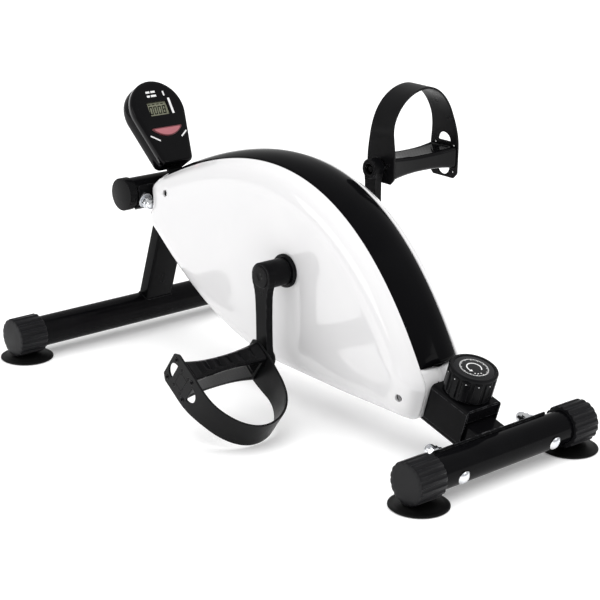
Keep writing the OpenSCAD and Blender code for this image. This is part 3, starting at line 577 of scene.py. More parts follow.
def saddle(name, place, half, direction):
    """Part of a ring round the tube, with rounded corners. The washers hide its bolt holes."""
    bm = bmesh.new()
    reach, cols, corner, steps = 52, 36, 5, 30
    line = [math.radians(direction - reach + 2 * reach * i / cols) for i in range(cols + 1)]

    def run(i):
        from_edge = min(i, cols - i) / cols * 2 * math.radians(reach) * SADDLE_R
        return half - rounded_end(from_edge, corner)

    rows = []
    for r, flip in ((SADDLE_R, False), (TUBE_R + 0.05, True)):
        part = [[Vector((r * math.cos(a), mix(-run(i), run(i), k / steps), r * math.sin(a)))
                 for k in range(steps + 1)] for i, a in enumerate(line)]
        rows += part[::-1] if flip else part
    verts = skin(bm, rows, wrap_rows=True)
    for end in (0, -1):
        edge = [row[end] for row in verts]
        n = len(line)
        for i in range(n - 1):
            bm.faces.new((edge[i], edge[i + 1], edge[2 * n - 2 - i], edge[2 * n - 1 - i]))
    piece(name, bm, place, "frame_paint", bevel=0.5, steps=2)


saddle("rear_saddle_plate", BEAM, REAR_SADDLE_HALF, 180)
saddle("top_saddle_plate", TOP_TUBE, TOP_SADDLE_HALF, 0)

# ---- end caps, feet and fasteners ----

CAP_R, CAP_LEN, CAP_WALL = 22, 34, 4
CAP_BORE = TUBE_R + 0.08
FLUTES, FLUTE_R, FLUTE_AT = 18, 2.6, 23.1


def fluted(angle, r, height):
    """Round flutes run along the cap and fade out over its chamfered face."""
    if r < TUBE_R + 0.3:
        return r
    spacing = 2 * math.pi / FLUTES
    off = ((angle + spacing / 2) % spacing - spacing / 2) * r
    floor = FLUTE_AT - math.sqrt(FLUTE_R**2 - off * off) if abs(off) < 2.5 else r
    return min(r, floor)


for name, centre in (("front_end_caps", FRONT), ("rear_end_caps", REAR)):
    half = half_width(name)
    base, seat = half - CAP_LEN, half - CAP_WALL
    profile = [(0, half), (16, half), (20.2, half), (21.1, half - 0.25), (21.7, half - 0.8),
               (CAP_R, half - 1.7), (CAP_R, base + 0.8), (CAP_R - 0.4, base + 0.2),
               (CAP_R - 1, base), (CAP_BORE, base), (CAP_BORE, seat), (0, seat)]
    turned(name, profile, OUTWARD.values(), local(centre), "cap_plastic", 288, shape=fluted,
           sharp=40)

r, h = TUBE_R + 1.5, half_width("top_tube_caps")
turned("top_tube_caps",
       [(0, h), (r - 1, h), (r - 0.3, h - 0.25), (r, h - 0.9), (r, h - 10.4), (r - 0.6, h - 11),
        (CAP_BORE, h - 11), (CAP_BORE, h - 3), (0, h - 3)],
       OUTWARD.values(), local(TOP, TILT), "cap_plastic", 96, finish="black_plastic", sharp=40)

FOOT_R, FOOT_H, FOOT_INSET = 30, 4.3, 18.5
FOOT = [(2.8, 2.2), (7, 2.2), (22, 1.6), (27, 0.05), (28.5, 0), (29.5, 0.15), (FOOT_R, 0.7),
        (29.9, 1.4), (29.2, 1.9), (27.5, 2.35), (26, 2.6), (24.5, 2.7), (23.8, 3.05), (19, 3.75),
        (17.6, 4.15), (16.8, FOOT_H), (2.8, FOOT_H)]
for end, centre in (("front", FRONT), ("rear", REAR)):
    at = half_width(end + "_end_caps") - FOOT_INSET
    turned(end + "_suction_feet", FOOT, [shift(y=-at), shift(y=at)],
           local(Vector((centre.x, 0, 0))), "foot_rubber", 96, loop=True, sharp=50)

BOLT_R, WASHER_T = 4, 1.6
HEAD_R, HEAD_H = 7.2, 3.6
BEAM_BOLT_Y, TOP_BOLT_Y = 65, 40
# A fastener's local Z runs outward on the nut side
BOLT_PLACES = [tube_place @ shift(y=side * bolt_y) @ Matrix.Rotation(to_nut, 4, "Y")
               for tube_place, bolt_y, to_nut in ((BEAM, BEAM_BOLT_Y, -math.pi / 2),
                                                  (TOP_TUBE, TOP_BOLT_Y, math.pi / 2))
               for side in (-1, 1)]
TOP_NUTS = {-1: BOLT_PLACES[2], 1: BOLT_PLACES[3]}


def bolt_head(bm, place):
    ball = (HEAD_R**2 + HEAD_H**2) / (2 * HEAD_H)
    dome = [(ball * math.sin(a), TUBE_R + HEAD_H - ball + ball * math.cos(a))
            for a in (math.asin(HEAD_R / ball) * i / 12 for i in range(13))]
    nut_side = SADDLE_R + WASHER_T + 8
    shank = [(HEAD_R, -TUBE_R - 0.1), (BOLT_R, -TUBE_R + 0.4), (BOLT_R, nut_side), (0, nut_side)]
    lathe(bm, [(r, -h) for r, h in dome] + shank, place, 48)


def washer(bm, place):
    """The inner face is arched to sit on the saddle's curve."""
    h = SADDLE_R + 0.1
    count, bore, rim = 48, 4.2, 9
    rows = []
    for r, top in ((bore, True), (rim - 0.5, True), (rim, None), (rim, False), (bore, False)):
        row = []
        for i in range(count):
            a = 2 * math.pi * i / count
            x, y = r * math.cos(a), r * math.sin(a)
            low = math.sqrt(h * h - x * x)
            z = low if top is False else h + WASHER_T - (0.35 if top is None else 0)
            row.append(place @ Vector((x, y, z)))
        rows.append(row)
    skin(bm, rows, wrap_rows=True, wrap_cols=True)


def dome_nut(bm, place):
    base = SADDLE_R + WASHER_T + 0.2
    corner_r, dome_r, dome_steps = 7.5, 6.0, 10
    flat = corner_r * math.cos(math.pi / 6)

    def hexagon(angle, r, h):
        sector = (angle + math.pi / 6) % (math.pi / 3) - math.pi / 6
        return min(r, flat / math.cos(sector))

    body = [(BOLT_R + 0.1, base), (6.6, base), (corner_r, base + 0.5), (corner_r, base + 5.1),
            (6.5, base + 6)]
    neck = [(dome_r, base + 6.1), (dome_r, base + 8)]
    dome = [(dome_r * math.cos(a), base + 8 + dome_r * math.sin(a))
            for a in (math.pi / 2 * i / dome_steps for i in range(1, dome_steps))]
    lathe(bm, body + neck + dome + [(0, base + 8 + dome_r)], place, 72, shape=hexagon)


for name, build, sharp in (("carriage_bolts", bolt_head, 35), ("arc_washers", washer, 35),
                           ("dome_nuts", dome_nut, 25)):
    bm = bmesh.new()
    for place in BOLT_PLACES:
        build(bm, place)
    piece(name, bm, IDENTITY, "zinc", sharp=sharp)

# ---- housing ----

SHELL_HALF, SHELL_T = 47, 2.5
STRIP_HALF, STRIP_T, STRIP_CROWN, STRIP_END_Z = 26, 2.4, 6.0, 90
# The notch round the top tube: its middle in X and Z, and its radius
NOTCH = (TOP.x / MM, TOP.z / MM, 28)
BACK = bezier(((-240, 192), (-92, 270), (74, 314), (199, 91)), 80)
TAIL = [(203.8, 83), (208, 75.5), (208.6, 71), (201.6, 44.5), (199.2, 39.9), (195, 36.8),
        (180, 35.9), (100, 35.1), (50, 36.1)]
BELLY = bezier(((0, 37), (-100, 40), (-182, 95), (-246, 154)), 50)
# Each screw's place in X and Z, and how far from the middle its head's face is
SCREWS = ((-196, 190.5, 27), (187, 62, 31))
SCREW_HOLE_R, NUT_ROOM_R = 4, 9.3


def off_notch(points):
    return [p for p in points if math.hypot(p[0] - NOTCH[0], p[1] - NOTCH[1]) >= NOTCH[2]]


back, belly = off_notch(BACK), off_notch(BELLY)
notch_turns = [math.degrees(math.atan2(p[1] - NOTCH[1], p[0] - NOTCH[0]))
               for p in (belly[-1], back[0])]
notch_arc = arc(*NOTCH, *notch_turns, 14)[1:-1]
EDGE_COUNT = 330
EDGE = resample(back + TAIL + belly + notch_arc, EDGE_COUNT, closed=True)
for _ in range(2):
    EDGE = [tuple(0.25 * EDGE[i - 1][k] + 0.5 * EDGE[i][k] + 0.25 * EDGE[(i + 1) % EDGE_COUNT][k]
                  for k in (0, 1)) for i in range(EDGE_COUNT)]
CENTRE = Vector((5, 150))


def edge_normal(i):
    a, b = Vector(EDGE[i - 2]), Vector(EDGE[(i + 2) % EDGE_COUNT])
    tangent = (b - a).normalized()
    inward = Vector((tangent.y, -tangent.x))
    return inward if inward.dot(CENTRE - Vector(EDGE[i])) > 0 else -inward


def closeness(i):
    """How much of the way to the centre one millimetre of inset is, at an edge point."""
    to_centre = CENTRE - Vector(EDGE[i])
    return 1 / max(to_centre.dot(edge_normal(i)), 60)


NEAR = [closeness(i) for i in range(EDGE_COUNT)]
for _ in range(10):
    NEAR = [(NEAR[i - 1] + NEAR[i] + NEAR[(i + 1) % EDGE_COUNT]) / 3 for i in range(EDGE_COUNT)]


def covered(i):
    """1 where the black strip covers the edge, 0 where the two shells meet at the middle."""
    x, z = EDGE[i]
    if x < -215:
        return ramp(z, 158, 162)
    return 1.0 if z > STRIP_END_Z and (z > 100 + (x + 231) * 0.15 or x > 150) else 0.0


COVER = [covered(i) for i in range(EDGE_COUNT)]
SEAM_HALF, FLANGE_HALF, LIP_HALF = 0.08, 26.0, 26.12
# Inset from the edge against half width: a small lip beside the strip, a hollow, then the crown
RIM = [(0.9, LIP_HALF), (0.15, 26.7), (0.0, 27.8), (0.5, 29.2), (1.5, 30.6), (2.6, 32.6),
       (4.0, 35.4), (6.0, 38.2), (8.6, 40.8), (11.6, 42.8), (15.2, 44.5), (19.5, 45.8),
       (24.5, 46.5), (30, 46.85)]
CRANK_BORE_R = 12.5
# The dimple round each screw hole, and how far the shells' cutters reach
DIMPLE, DIMPLE_R0, DIMPLE_R1 = 1.4, 3, 9
HOLE_REACH, NUT_ROOM_REACH = 60, 38


def shell_point(i, inset, half):
    k = inset * NEAR[i]
    x, z = mix(EDGE[i][0], CENTRE.x, k), mix(EDGE[i][1], CENTRE.y, k)
    return Vector((x, half, z))


def shell(side):
    bm = bmesh.new()
    rows = []
    # The flange turned in under the strip, or the seam where the two shells meet
    for t in (0.0, 0.35, 0.7, 1.0):
        row = []
        for i, cover in enumerate(COVER):
            half = mix(mix(SEAM_HALF, FLANGE_HALF, t), LIP_HALF, cover)
            inset = mix(0.0 if t > 0 else 0.4, 3.4 - 2.2 * t, cover)
            row.append(shell_point(i, inset, half))
        rows.append(row)
    for inset, half in RIM:
        rows.append([shell_point(i, inset, half) for i in range(EDGE_COUNT)])
    # The flat side closes in rings on the bore round the crank axle
    rings = 56
    crank_at = Vector((CRANK.x / MM, CRANK.z / MM))
    start = [shell_point(i, RIM[-1][0], 0).xz for i in range(EDGE_COUNT)]
    for j in range(1, rings + 1):
        t = j / rings
        row = []
        for p in start:
            q = p.lerp(crank_at + (p - crank_at).normalized() * CRANK_BORE_R, t)
            row.append(Vector((q.x, SHELL_HALF - 0.15 * (1 - t) ** 2, q.y)))
        rows.append(row)
    skin(bm, rows, wrap_cols=True)
    for v in bm.verts:
        for x, z, _ in SCREWS:
            if v.co.y > 20:
                far = math.hypot(v.co.x - x, v.co.z - z)
                v.co.y -= DIMPLE * (1 - ramp(far, DIMPLE_R0, DIMPLE_R1))
    bmesh.ops.recalc_face_normals(bm, faces=bm.faces)
    face_outward(bm, 1)
    obj = piece(SIDE_NAME[side] + "_housing_shell", bm, ROW if side > 0 else ROW @ MIRROR,
                "white_shell", solid=SHELL_T, closed=False, sharp=50)
    carve(obj, shell_cutter(side))


def shell_cutter(side):
    """Screw holes and the room round a dome nut, as plain cylinders."""
    bm = bmesh.new()
    holes = [(SCREW_HOLE_R, HOLE_REACH, ROW @ shift(x, 0, z) @ OUTWARD[side], 40)
             for x, z, _ in SCREWS]
    for r, depth, spot, segs in holes + [(NUT_ROOM_R, NUT_ROOM_REACH, TOP_NUTS[side], 56)]:
        lathe(bm, [(0, 1), (r, 1), (r, depth), (0, depth)], spot, segs)
    return bm


def carve(obj, cutter_bm):
    """Cuts a mesh out of an object and keeps the result as the object's own mesh."""
    bmesh.ops.recalc_face_normals(cutter_bm, faces=cutter_bm.faces)
    cutter_mesh = bpy.data.meshes.new("cutter")
    cutter_bm.to_mesh(cutter_mesh)
    cutter_bm.free()
    cutter = bpy.data.objects.new("cutter", cutter_mesh)
    bpy.context.scene.collection.objects.link(cutter)
    cut = obj.modifiers.new("cut", "BOOLEAN")
    cut.operation, cut.object, cut.solver = "DIFFERENCE", cutter, "EXACT"
    bpy.context.view_layer.update()
    result = obj.evaluated_get(bpy.context.evaluated_depsgraph_get())
    baked = bpy.data.meshes.new_from_object(result)
    obj.modifiers.clear()
    obj.data = baked
    bpy.data.objects.remove(cutter)
    bpy.data.meshes.remove(cutter_mesh)


for side in (-1, 1):
    shell(side)


def strip():
    """The black strip follows the housing's back from the nose notch to its lower end."""
    bm = bmesh.new()
    line = resample([p for p in notch_arc if p[1] > 160] + back, 190)
    half_steps = 26
    rows = []
    for i, p in enumerate(line):
        a, b = line[max(0, i - 1)], line[min(len(line) - 1, i + 1)]
        tangent = (Vector(b) - Vector(a)).normalized()
        out = Vector((-tangent.y, tangent.x))
        s = min(i, len(line) - 1 - i)
        rounding = math.sqrt(max(0.0, 1 - (1 - min(1.0, s / 3)) ** 2))
        row = []
        for j in range(-half_steps, half_steps + 1):
            w = j / half_steps
            lift = STRIP_CROWN * (1 - abs(w) ** 2.3) - 0.9 * ramp(abs(w), 0.93, 1.0)
            lift = lift * mix(0.86, 1.0, rounding) - 1.2 * (1 - rounding)
            q = Vector(p) + out * lift
            row.append(Vector((q.x, STRIP_HALF * w, q.y)))
        rows.append(row)
    skin(bm, rows)
    face_outward(bm, 2)
    piece("top_cover_strip", bm, ROW, "black_gloss", solid=STRIP_T, closed=False, sharp=60)


strip()

# Pan head screws with a recess, and the white bosses that lead from the shells' holes to them
bm, bosses = bmesh.new(), bmesh.new()
for x, z, face in SCREWS:
    for way in OUTWARD.values():
        spot = shift(x, 0, z) @ way
        lathe(bm, [(0, face - 0.9), (0.9, face - 0.8), (1.1, face - 0.1), (1.6, face),
                   (2.8, face - 0.3), (3.4, face - 1), (3.4, face - 2), (2, face - 2),
                   (2, face - 8), (0, face - 8)], spot, 32)
        lathe(bosses, [(4.05, face - 3), (5.4, face - 3), (5.4, 40), (5.1, 40.3), (4.3, 40.3),
                       (4.05, 40)], spot, 40, loop=True)
piece("housing_screws", bm, ROW, "steel")
piece("screw_bosses", bosses, ROW, "white_shell", stands_for=())

# ---- cranks ----

CRANK_LEN = (SPINDLES[1] - CRANK).xz.length / MM
COLLAR_Y = SHELL_HALF + 0.3
COLLAR_T = 4
HUB_Y0, HUB_Y1, HUB_R = COLLAR_Y + COLLAR_T + 0.3, 82, 14.5
ARM_Y0 = HUB_Y1 - 9
EYE_R, EYE_Y1 = 11, 84.5

turned("crank_collars",
       [(8.8, COLLAR_Y - 4), (11.3, COLLAR_Y - 4), (11.3, COLLAR_Y), (17.4, COLLAR_Y),
        (18, COLLAR_Y + 0.5), (18, COLLAR_Y + 2.8), (17.6, COLLAR_Y + 3.5),
        (16.8, COLLAR_Y + COLLAR_T), (8.8, COLLAR_Y + COLLAR_T)],
       OUTWARD.values(), local(CRANK), "black_plastic", 96, loop=True)


def arm_outline():
    """Side view of the arm: it flares into the hub and narrows to the pedal's eye."""
    stations = [(0, HUB_R - 0.4), (4, HUB_R - 0.5), (8, 13.2), (12, 11.6), (17, 10.2), (23, 9.3),
                (32, 8.8), (45, 8.5), (60, 8.4), (CRANK_LEN - 15, 8.6), (CRANK_LEN - 10, 9.1),
                (CRANK_LEN - 5, 10.0), (CRANK_LEN, EYE_R - 0.3)]
    fine = []
    for (s0, w0), (s1, w1) in zip(stations, stations[1:]):
        fine += [(mix(s0, s1, k / 4), mix(w0, w1, ramp(k / 4, 0, 1))) for k in range(4)]
    right = fine + [stations[-1]]
    eye = arc(0, CRANK_LEN, EYE_R - 0.3, 0, 180, 24)[1:-1]
    hub = arc(0, 0, HUB_R - 0.4, 180, 360, 30)[1:-1]
    return [(w, s) for s, w in right] + eye + [(-w, s) for s, w in right[::-1]] + hub


def crank_arm(side):
    bm = bmesh.new()
    prism(bm, arm_outline(), ARM_Y0, HUB_Y1 - 0.2, PLATE)
    hub = [(8.52, HUB_Y0), (HUB_R - 0.8, HUB_Y0), (HUB_R, HUB_Y0 + 0.8), (HUB_R, HUB_Y1 - 1.2),
           (HUB_R - 0.5, HUB_Y1 - 0.4), (HUB_R - 1.4, HUB_Y1), (12.7, HUB_Y1), (12.7, 78),
           (8.52, 78)]
    lathe(bm, hub, PLATE, 96, loop=True)
    eye = [(6.02, ARM_Y0 - 2), (EYE_R - 1, ARM_Y0 - 2), (EYE_R, ARM_Y0 - 1),
           (EYE_R, EYE_Y1 - 1.2), (EYE_R - 0.4, EYE_Y1 - 0.4), (EYE_R - 1.3, EYE_Y1),
           (6.02, EYE_Y1)]
    lathe(bm, eye, shift(z=CRANK_LEN) @ PLATE, 80, loop=True)
    piece(SIDE_NAME[side] + "_crank_arm", bm, on_crank(side), "crank_paint", body="crank",
          bevel=1.6, steps=4, limit=50)


for side in (-1, 1):
    crank_arm(side)

turned("dust_plugs",
       [(0, 82.7), (3.4, 82.7), (3.9, 82.95), (4.5, 83), (10.6, 83), (11.6, 82.8), (12.3, 82.3),
        (12.5, 82), (9.95, 82), (9.95, 78.2), (7, 78.2), (7, 80.5), (0, 80.5)],
       OUTWARD.values(), local(CRANK), "black_plastic", 80, body="crank")

SPINDLE = [(0, 78), (2.8, 78.2), (3, ARM_Y0), (5.6, ARM_Y0), (6, ARM_Y0 + 0.4),
           (6, EYE_Y1 + 0.1), (7.6, EYE_Y1 + 0.1), (8, EYE_Y1 + 0.5), (8, EYE_Y1 + 2.6),
           (7.6, EYE_Y1 + 3), (6, EYE_Y1 + 3), (6, 178.5), (0, 178.5)]
for side in (-1, 1):
    turned(SIDE_NAME[side] + "_pedal_spindle", SPINDLE, [PLATE], on_spindle(side), "steel", 64,
           body="crank")

# ---- pedals ----

STRAP_T = 2.4
STRAP_Y0 = 88
PEDAL_Y0, PEDAL_Y1 = STRAP_Y0 + STRAP_T + 0.1, 185
STRAP_Y1 = PEDAL_Y1 + 0.1 + STRAP_T
LOOP_MID = (STRAP_Y0 + STRAP_Y1) / 2
LOOP_HALF = (STRAP_Y1 - STRAP_Y0) / 2
LOOP_H = 84
HALF_H, HALF_X, WAIST = 12.5, 20, 3.2
# Places on the pedal's ends, in X and Z
OUTER_PEGS = [(x, z) for x in (-12, 12) for z in (-6, 6)]
INNER_PEGS = [(-12, 3), (12, 3)]
BOSSES = [(x, z) for x in (-14, 14) for z in (-18, 12)]


def pedal_section(t, angle):
    """A rounded block: t runs from one end to the other, angle goes round the section."""
    bow = WAIST * (1 - abs(t) ** 2.2)
    hx, hz = HALF_X - bow, HALF_H - bow
    corner = 4.2
    c, s = math.cos(angle), math.sin(angle)
    reach = min(hx / max(abs(c), 1e-6), hz / max(abs(s), 1e-6))
    x, z = c * reach, s * reach
    over_x, over_z = abs(x) - (hx - corner), abs(z) - (hz - corner)
    if over_x > 0 and over_z > 0:
        size = math.hypot(over_x, over_z)
        x = math.copysign(hx - corner + over_x / size * corner, x)
        z = math.copysign(hz - corner + over_z / size * corner, z)
    return x, z


def pedal_body(side):
    bm = bmesh.new()
    rounds, runs, end_r = 120, 110, 1.6
    bump_gap, bump_reach, bump_h, rib_gap = 14, 35, 2.2, 4.2
    mid, half = (PEDAL_Y0 + PEDAL_Y1) / 2, (PEDAL_Y1 - PEDAL_Y0) / 2
    rows = []
    for i in range(runs + 1):
        t = -1 + 2 * i / runs
        y = mid + half * t
        end = (1 - abs(t)) * half
        pull = rounded_end(end, end_r)
        row = []
        for j in range(rounds):
            a = 2 * math.pi * j / rounds
            x, z = pedal_section(t, a)
            size = math.hypot(x, z)
            x, z = x * (1 - pull / size), z * (1 - pull / size)
            # Five finger bumps on the -X side
            if x < 0 and abs(y - mid) < bump_reach:
                off = (y - mid) / bump_gap - round((y - mid) / bump_gap)
                grow = math.sqrt(max(0, 1 - off**2 * 4.4))
                grow *= ramp(-x / HALF_X, 0.72, 0.95) * (1 - ramp(abs(z), 6.0, 8.6))
                x -= bump_h * grow
            # A sunken panel with fine diagonal ribs under the strap
            if z > 0:
                flat = ramp(z / HALF_H, 0.62, 0.8) * ramp(end, 5, 6.5)
                flat *= 1 - ramp(abs(x), 12.6, 13.6)
                rib = 0.5 + 0.5 * math.cos((y + x * 0.8) / rib_gap * 2 * math.pi)
                z -= flat * (0.9 + 0.12 * (1 - ramp(rib, 0.25, 0.75)))
            row.append(Vector((x, y, z)))
        rows.append(row)
    close_ends(bm, skin(bm, rows, wrap_cols=True))
    # Pegs and a key pass through the strap's plates, and bosses stand on the outer one
    key_face = PEDAL_Y1 + 2.5
    pegs = [(x, z, key_face, 1) for x, z in OUTER_PEGS]
    pegs += [(x, z, PEDAL_Y0 - 2.5, -1) for x, z in INNER_PEGS]
    for x, z, tip, way in pegs:
        peg = [(0, tip - 5 * way), (1.5, tip - 5 * way), (1.5, tip - 0.4 * way), (1.1, tip),
               (0, tip)]
        lathe(bm, peg, shift(x, 0, z) @ PLATE, 20)
    prism(bm, centred_box(8, 6, 1.6), PEDAL_Y1 - 1, key_face, PLATE)
    outer = key_face + 0.05
    boss = [(1.5, outer - 0.6), (2.9, outer - 0.6), (2.8, outer + 0.2), (2.2, outer + 0.5),
            (1.5, outer + 0.2)]
    for x, z in BOSSES:
        lathe(bm, boss, shift(x, 0, z) @ PLATE, 28, loop=True)
    piece(SIDE_NAME[side] + "_pedal_body", bm, on_spindle(side), "black_plastic",
          body=SIDE_NAME[side] + "_pedal", finish="pedal_gloss", sharp=42)


for side in (-1, 1):
    pedal_body(side)

# The ends of the strap below the spindle, and where its loop starts on each plate
INNER_END, OUTER_END = -17, -25
RISE_Z, FALL_Z = 35, 15


def strap_path():
    """The middle line of the strap in Y and Z: inner plate, loop, outer plate."""
    a = LOOP_HALF - STRAP_T / 2

    def quarter(z, turns):
        height = LOOP_H - z - STRAP_T / 2
        return [(LOOP_MID + a * math.cos(t), z + height * math.sin(t)) for t in turns]

    inner = [(LOOP_MID - a, z) for z in (INNER_END, 0, 20)]
    rise = quarter(RISE_Z, (math.pi - math.pi / 2 * i / 40 for i in range(41)))
    fall = quarter(FALL_Z, (math.pi / 2 - math.pi / 2 * i / 50 for i in range(1, 51)))
    outer = [(LOOP_MID + a, z) for z in (0, -12, OUTER_END)]
    return resample(inner + rise + fall + outer, 420)


STRAP_LINE = strap_path()
STRAP_RUN = along(STRAP_LINE)
STRAP_LEN = STRAP_RUN[-1]
# The spindle's height on each plate, counted along the strap
INNER_AT, OUTER_AT = -INNER_END, STRAP_LEN + OUTER_END


def strap_bend(u, x):
    """Maps a length along the strap and a place across it to the strap's middle surface."""
    u = max(0.0, min(STRAP_LEN, u))
    k = min(len(STRAP_LINE) - 2, int(u / STRAP_LEN * (len(STRAP_LINE) - 1)))
    t = (u - STRAP_RUN[k]) / (STRAP_RUN[k + 1] - STRAP_RUN[k])
    y, z = (mix(p, q, t) for p, q in zip(STRAP_LINE[k], STRAP_LINE[k + 1]))
    return Vector((x, y, z))


def strap_half_width(u):
    """Wide at both plates and narrower over the loop, with clipped ends."""
    z = strap_bend(u, 0).z
    base = mix(21, 16.5, ramp(z, 8, 52))
    ends = min(u, STRAP_LEN - u)
    return min(base, 15.5 + ends * 0.92) if ends < 6 else base


def d_loop(u, way):
    """A D shaped hole: its flat side lies across the strap at u."""
    r, steps = 9.5, 18
    turns = [math.pi * i / steps for i in range(steps + 1)]
    return [(u + way * r * math.sin(a), r * math.cos(a)) for a in turns]


def pedal_strap(side):
    bm = bmesh.new()
    count, at = 150, OUTER_AT
    half = [(u, strap_half_width(u)) for u in (STRAP_LEN * i / count for i in range(count + 1))]
    outline = half + [(u, -w) for u, w in half[::-1]]
    holes = [ring(INNER_AT, 0, 8.4, 36), d_loop(at - 16, -1), d_loop(at + 13, 1)]
    holes += [ring(at - z, x, 1.5, 14) for x, z in BOSSES]
    holes += [ring(at - z, x, 1.6, 14) for x, z in OUTER_PEGS]
    holes += [box_outline(at - 6.2, at + 6.2, -8.2, 8.2, 1.6, 3)]
    holes += [ring(INNER_AT + z, x, 1.6, 14) for x, z in INNER_PEGS]
    cut_sheet(bm, outline, holes, 3.0, strap_bend)
    face_outward(bm, 2)
    piece(SIDE_NAME[side] + "_pedal_strap", bm, on_spindle(side), "strap_plastic",
          body=SIDE_NAME[side] + "_pedal", solid=STRAP_T, solid_side=0.0, closed=False,
          bevel=0.55, steps=2, limit=45, sharp=60)


for side in (-1, 1):
    pedal_strap(side)

# ---- knob and its bracket ----

KNOB_S = -56
BRACKET_TOP = 32.5
BRACKET_LEN, BRACKET_HALF, SHEET = 52, 24, 2
KNOB_R, KNOB_H, GRIPS = 25, 29, 12
SHAFT_R, RECESS_R = 5.05, 20.5
KNOB = BEAM @ shift(x=KNOB_S, z=BRACKET_TOP + 1)


def grips(angle, r, height):
    """Twelve broad grip panels with narrow grooves between them."""
    if r < KNOB_R - 2.6 or height > KNOB_H - 3.2:
        return r
    spacing = 2 * math.pi / GRIPS
    off = abs((angle + spacing / 2) % spacing - spacing / 2) / (spacing / 2)
    panel = 1 - ramp(off, 0.60, 0.78)
    fade = ramp(height, 1.2, 3.0) * (1 - ramp(height, KNOB_H - 5.4, KNOB_H - 4.0))
    return r - 1.7 + 1.7 * panel * fade - 0.25 * off * off


wall = [(KNOB_R, 0.6 + (KNOB_H - 4.4) * i / 22) for i in range(23)]
turned("tension_knob",
       [(SHAFT_R, 0), (KNOB_R - 2.4, 0), (KNOB_R - 1, 0.3)] + wall
       + [(KNOB_R, KNOB_H - 3.1), (KNOB_R, KNOB_H - 1.2), (KNOB_R - 0.3, KNOB_H - 0.5),
          (KNOB_R - 1, KNOB_H), (RECESS_R + 0.4, KNOB_H), (RECESS_R, KNOB_H - 0.3),
          (RECESS_R, KNOB_H - 1.2), (SHAFT_R, KNOB_H - 1.2), (SHAFT_R, 0.2)],
       [IDENTITY], KNOB, "black_plastic", 360, shape=grips, body="knob", sharp=40)

FACE_H, FACE_R = KNOB_H - 0.2, 20.25
turned("knob_dial",
       [(0, FACE_H), (19.8, FACE_H), (FACE_R, FACE_H - 0.2), (FACE_R, KNOB_H - 1.1),
        (0, KNOB_H - 1.1)],
       [IDENTITY], KNOB, "dial_plastic", 120, body="knob")


def ring_sector(r0, r1, a0, a1, steps=40):
    return arc(0, 0, r1, a0, a1, steps) + arc(0, 0, r0, a1, a0, steps)


def polar(r, angle):
    return arc(0, 0, r, angle, angle, 1)[0]


# Printed ticks, a turn arrow and three dots on the dial, then raised dots on the grips
MARKS = FACE_H - 0.05, FACE_H + 0.12
TICKS, ARROW_R, ARROW_END = 60, 7.5, 285
bm = bmesh.new()
for tick in range(TICKS):
    a = tick * 360 / TICKS
    prism(bm, ring_sector(13.6 if tick % 5 else 12.6, 14.9, a - 1.3, a + 1.3, 3), *MARKS)
prism(bm, ring_sector(ARROW_R - 0.6, ARROW_R + 0.6, 35, ARROW_END), *MARKS)
head = ((ARROW_R + 2.3, ARROW_END - 1), (ARROW_R, ARROW_END + 21), (ARROW_R - 2.3, ARROW_END - 1))
prism(bm, [polar(r, a) for r, a in head], *MARKS)
for a in (320, 338, 356):
    prism(bm, ring(*polar(10.6, a), 0.7, 14), *MARKS)
for grip in range(GRIPS):
    turn = Matrix.Rotation(math.radians(360 / GRIPS * grip), 4, "Z")
    outward = shift(x=KNOB_R - 0.2, z=KNOB_H - 7) @ Matrix.Rotation(math.pi / 2, 4, "Y")
    lathe(bm, [(0, 0.42), (0.35, 0.36), (0.6, 0.15), (0.65, -0.4), (0, -0.4)], turn @ outward, 14)
piece("dial_marks", bm, KNOB, "dial_plastic", body="knob", stands_for=(), finish="white_print",
      sharp=30)


def bracket_section(outer):
    """The bent sheet's section across the machine: two walls and a top with rounded bends."""
    d = 0 if outer else SHEET
    r = BEND_R - d
    half, top = BRACKET_HALF - d, BRACKET_TOP - d
    left = [(-half, BRACKET_FOOT), (-half, top - r)] + arc(-half + r, top - r, r, 180, 90, 6)
    return left + [(-y, z) for y, z in left[::-1]]


BEND_R, BRACKET_FOOT = 4.5, -6
x0, x1 = KNOB_S - BRACKET_LEN / 2, KNOB_S + BRACKET_LEN / 2
bm = bmesh.new()
prism(bm, bracket_section(True) + bracket_section(False)[::-1], x0, x1, FACE)
# End plates close it, down to just above the beam
for start, low in ((x0, 15.5), (x1 - SHEET, 18)):
    plate = box_outline(-BRACKET_HALF + SHEET, BRACKET_HALF - SHEET, low, BRACKET_TOP - SHEET)
    prism(bm, plate, start, start + SHEET, FACE)
piece("knob_bracket", bm, BEAM, "frame_paint", bevel=0.45, steps=2)

# ---- monitor ----

CASE_T, SPLIT = 26, 9
DROP_H, DROP_R, DROP_FOOT_R, DROP_FOOT_X = 96.5, 36, 8, 14.5
BUTTON_W, BUTTON_H, BUTTON_TOP = 43.5, 11, 37
# The display's sides, foot and top, and the depths of its face and of the ink on it
LCD = (-15, 13, 52.5, 69.5)
LCD_FACE, INK = -2.4, (-2.42, -2.25)


def drop(inset):
    """Front view of the monitor: round at the top, narrow and blunt at the foot."""
    taper, r = 13.4, DROP_FOOT_R - inset
    return (arc(0, DROP_H - DROP_R, DROP_R - inset, -taper, 180 + taper, 96)
            + arc(-DROP_FOOT_X, 0.5, r, 180 + taper, 270, 8)
            + arc(DROP_FOOT_X, 0.5, r, 270, 360 - taper, 8))


def chord_shape(grow):
    """The button: a flat edge above and an arc below."""
    chord = BUTTON_W / 2
    r = (chord**2 + BUTTON_H**2) / (2 * BUTTON_H)
    centre = BUTTON_TOP - BUTTON_H + r
    r += grow
    half = math.degrees(math.acos((centre - BUTTON_TOP - grow) / r))
    return arc(0, centre, r, 270 - half, 270 + half, 34)


def upright(outline, x):
    """An outline in Y and Z, as points at one depth X."""
    return [Vector((x, y, z)) for y, z in outline]


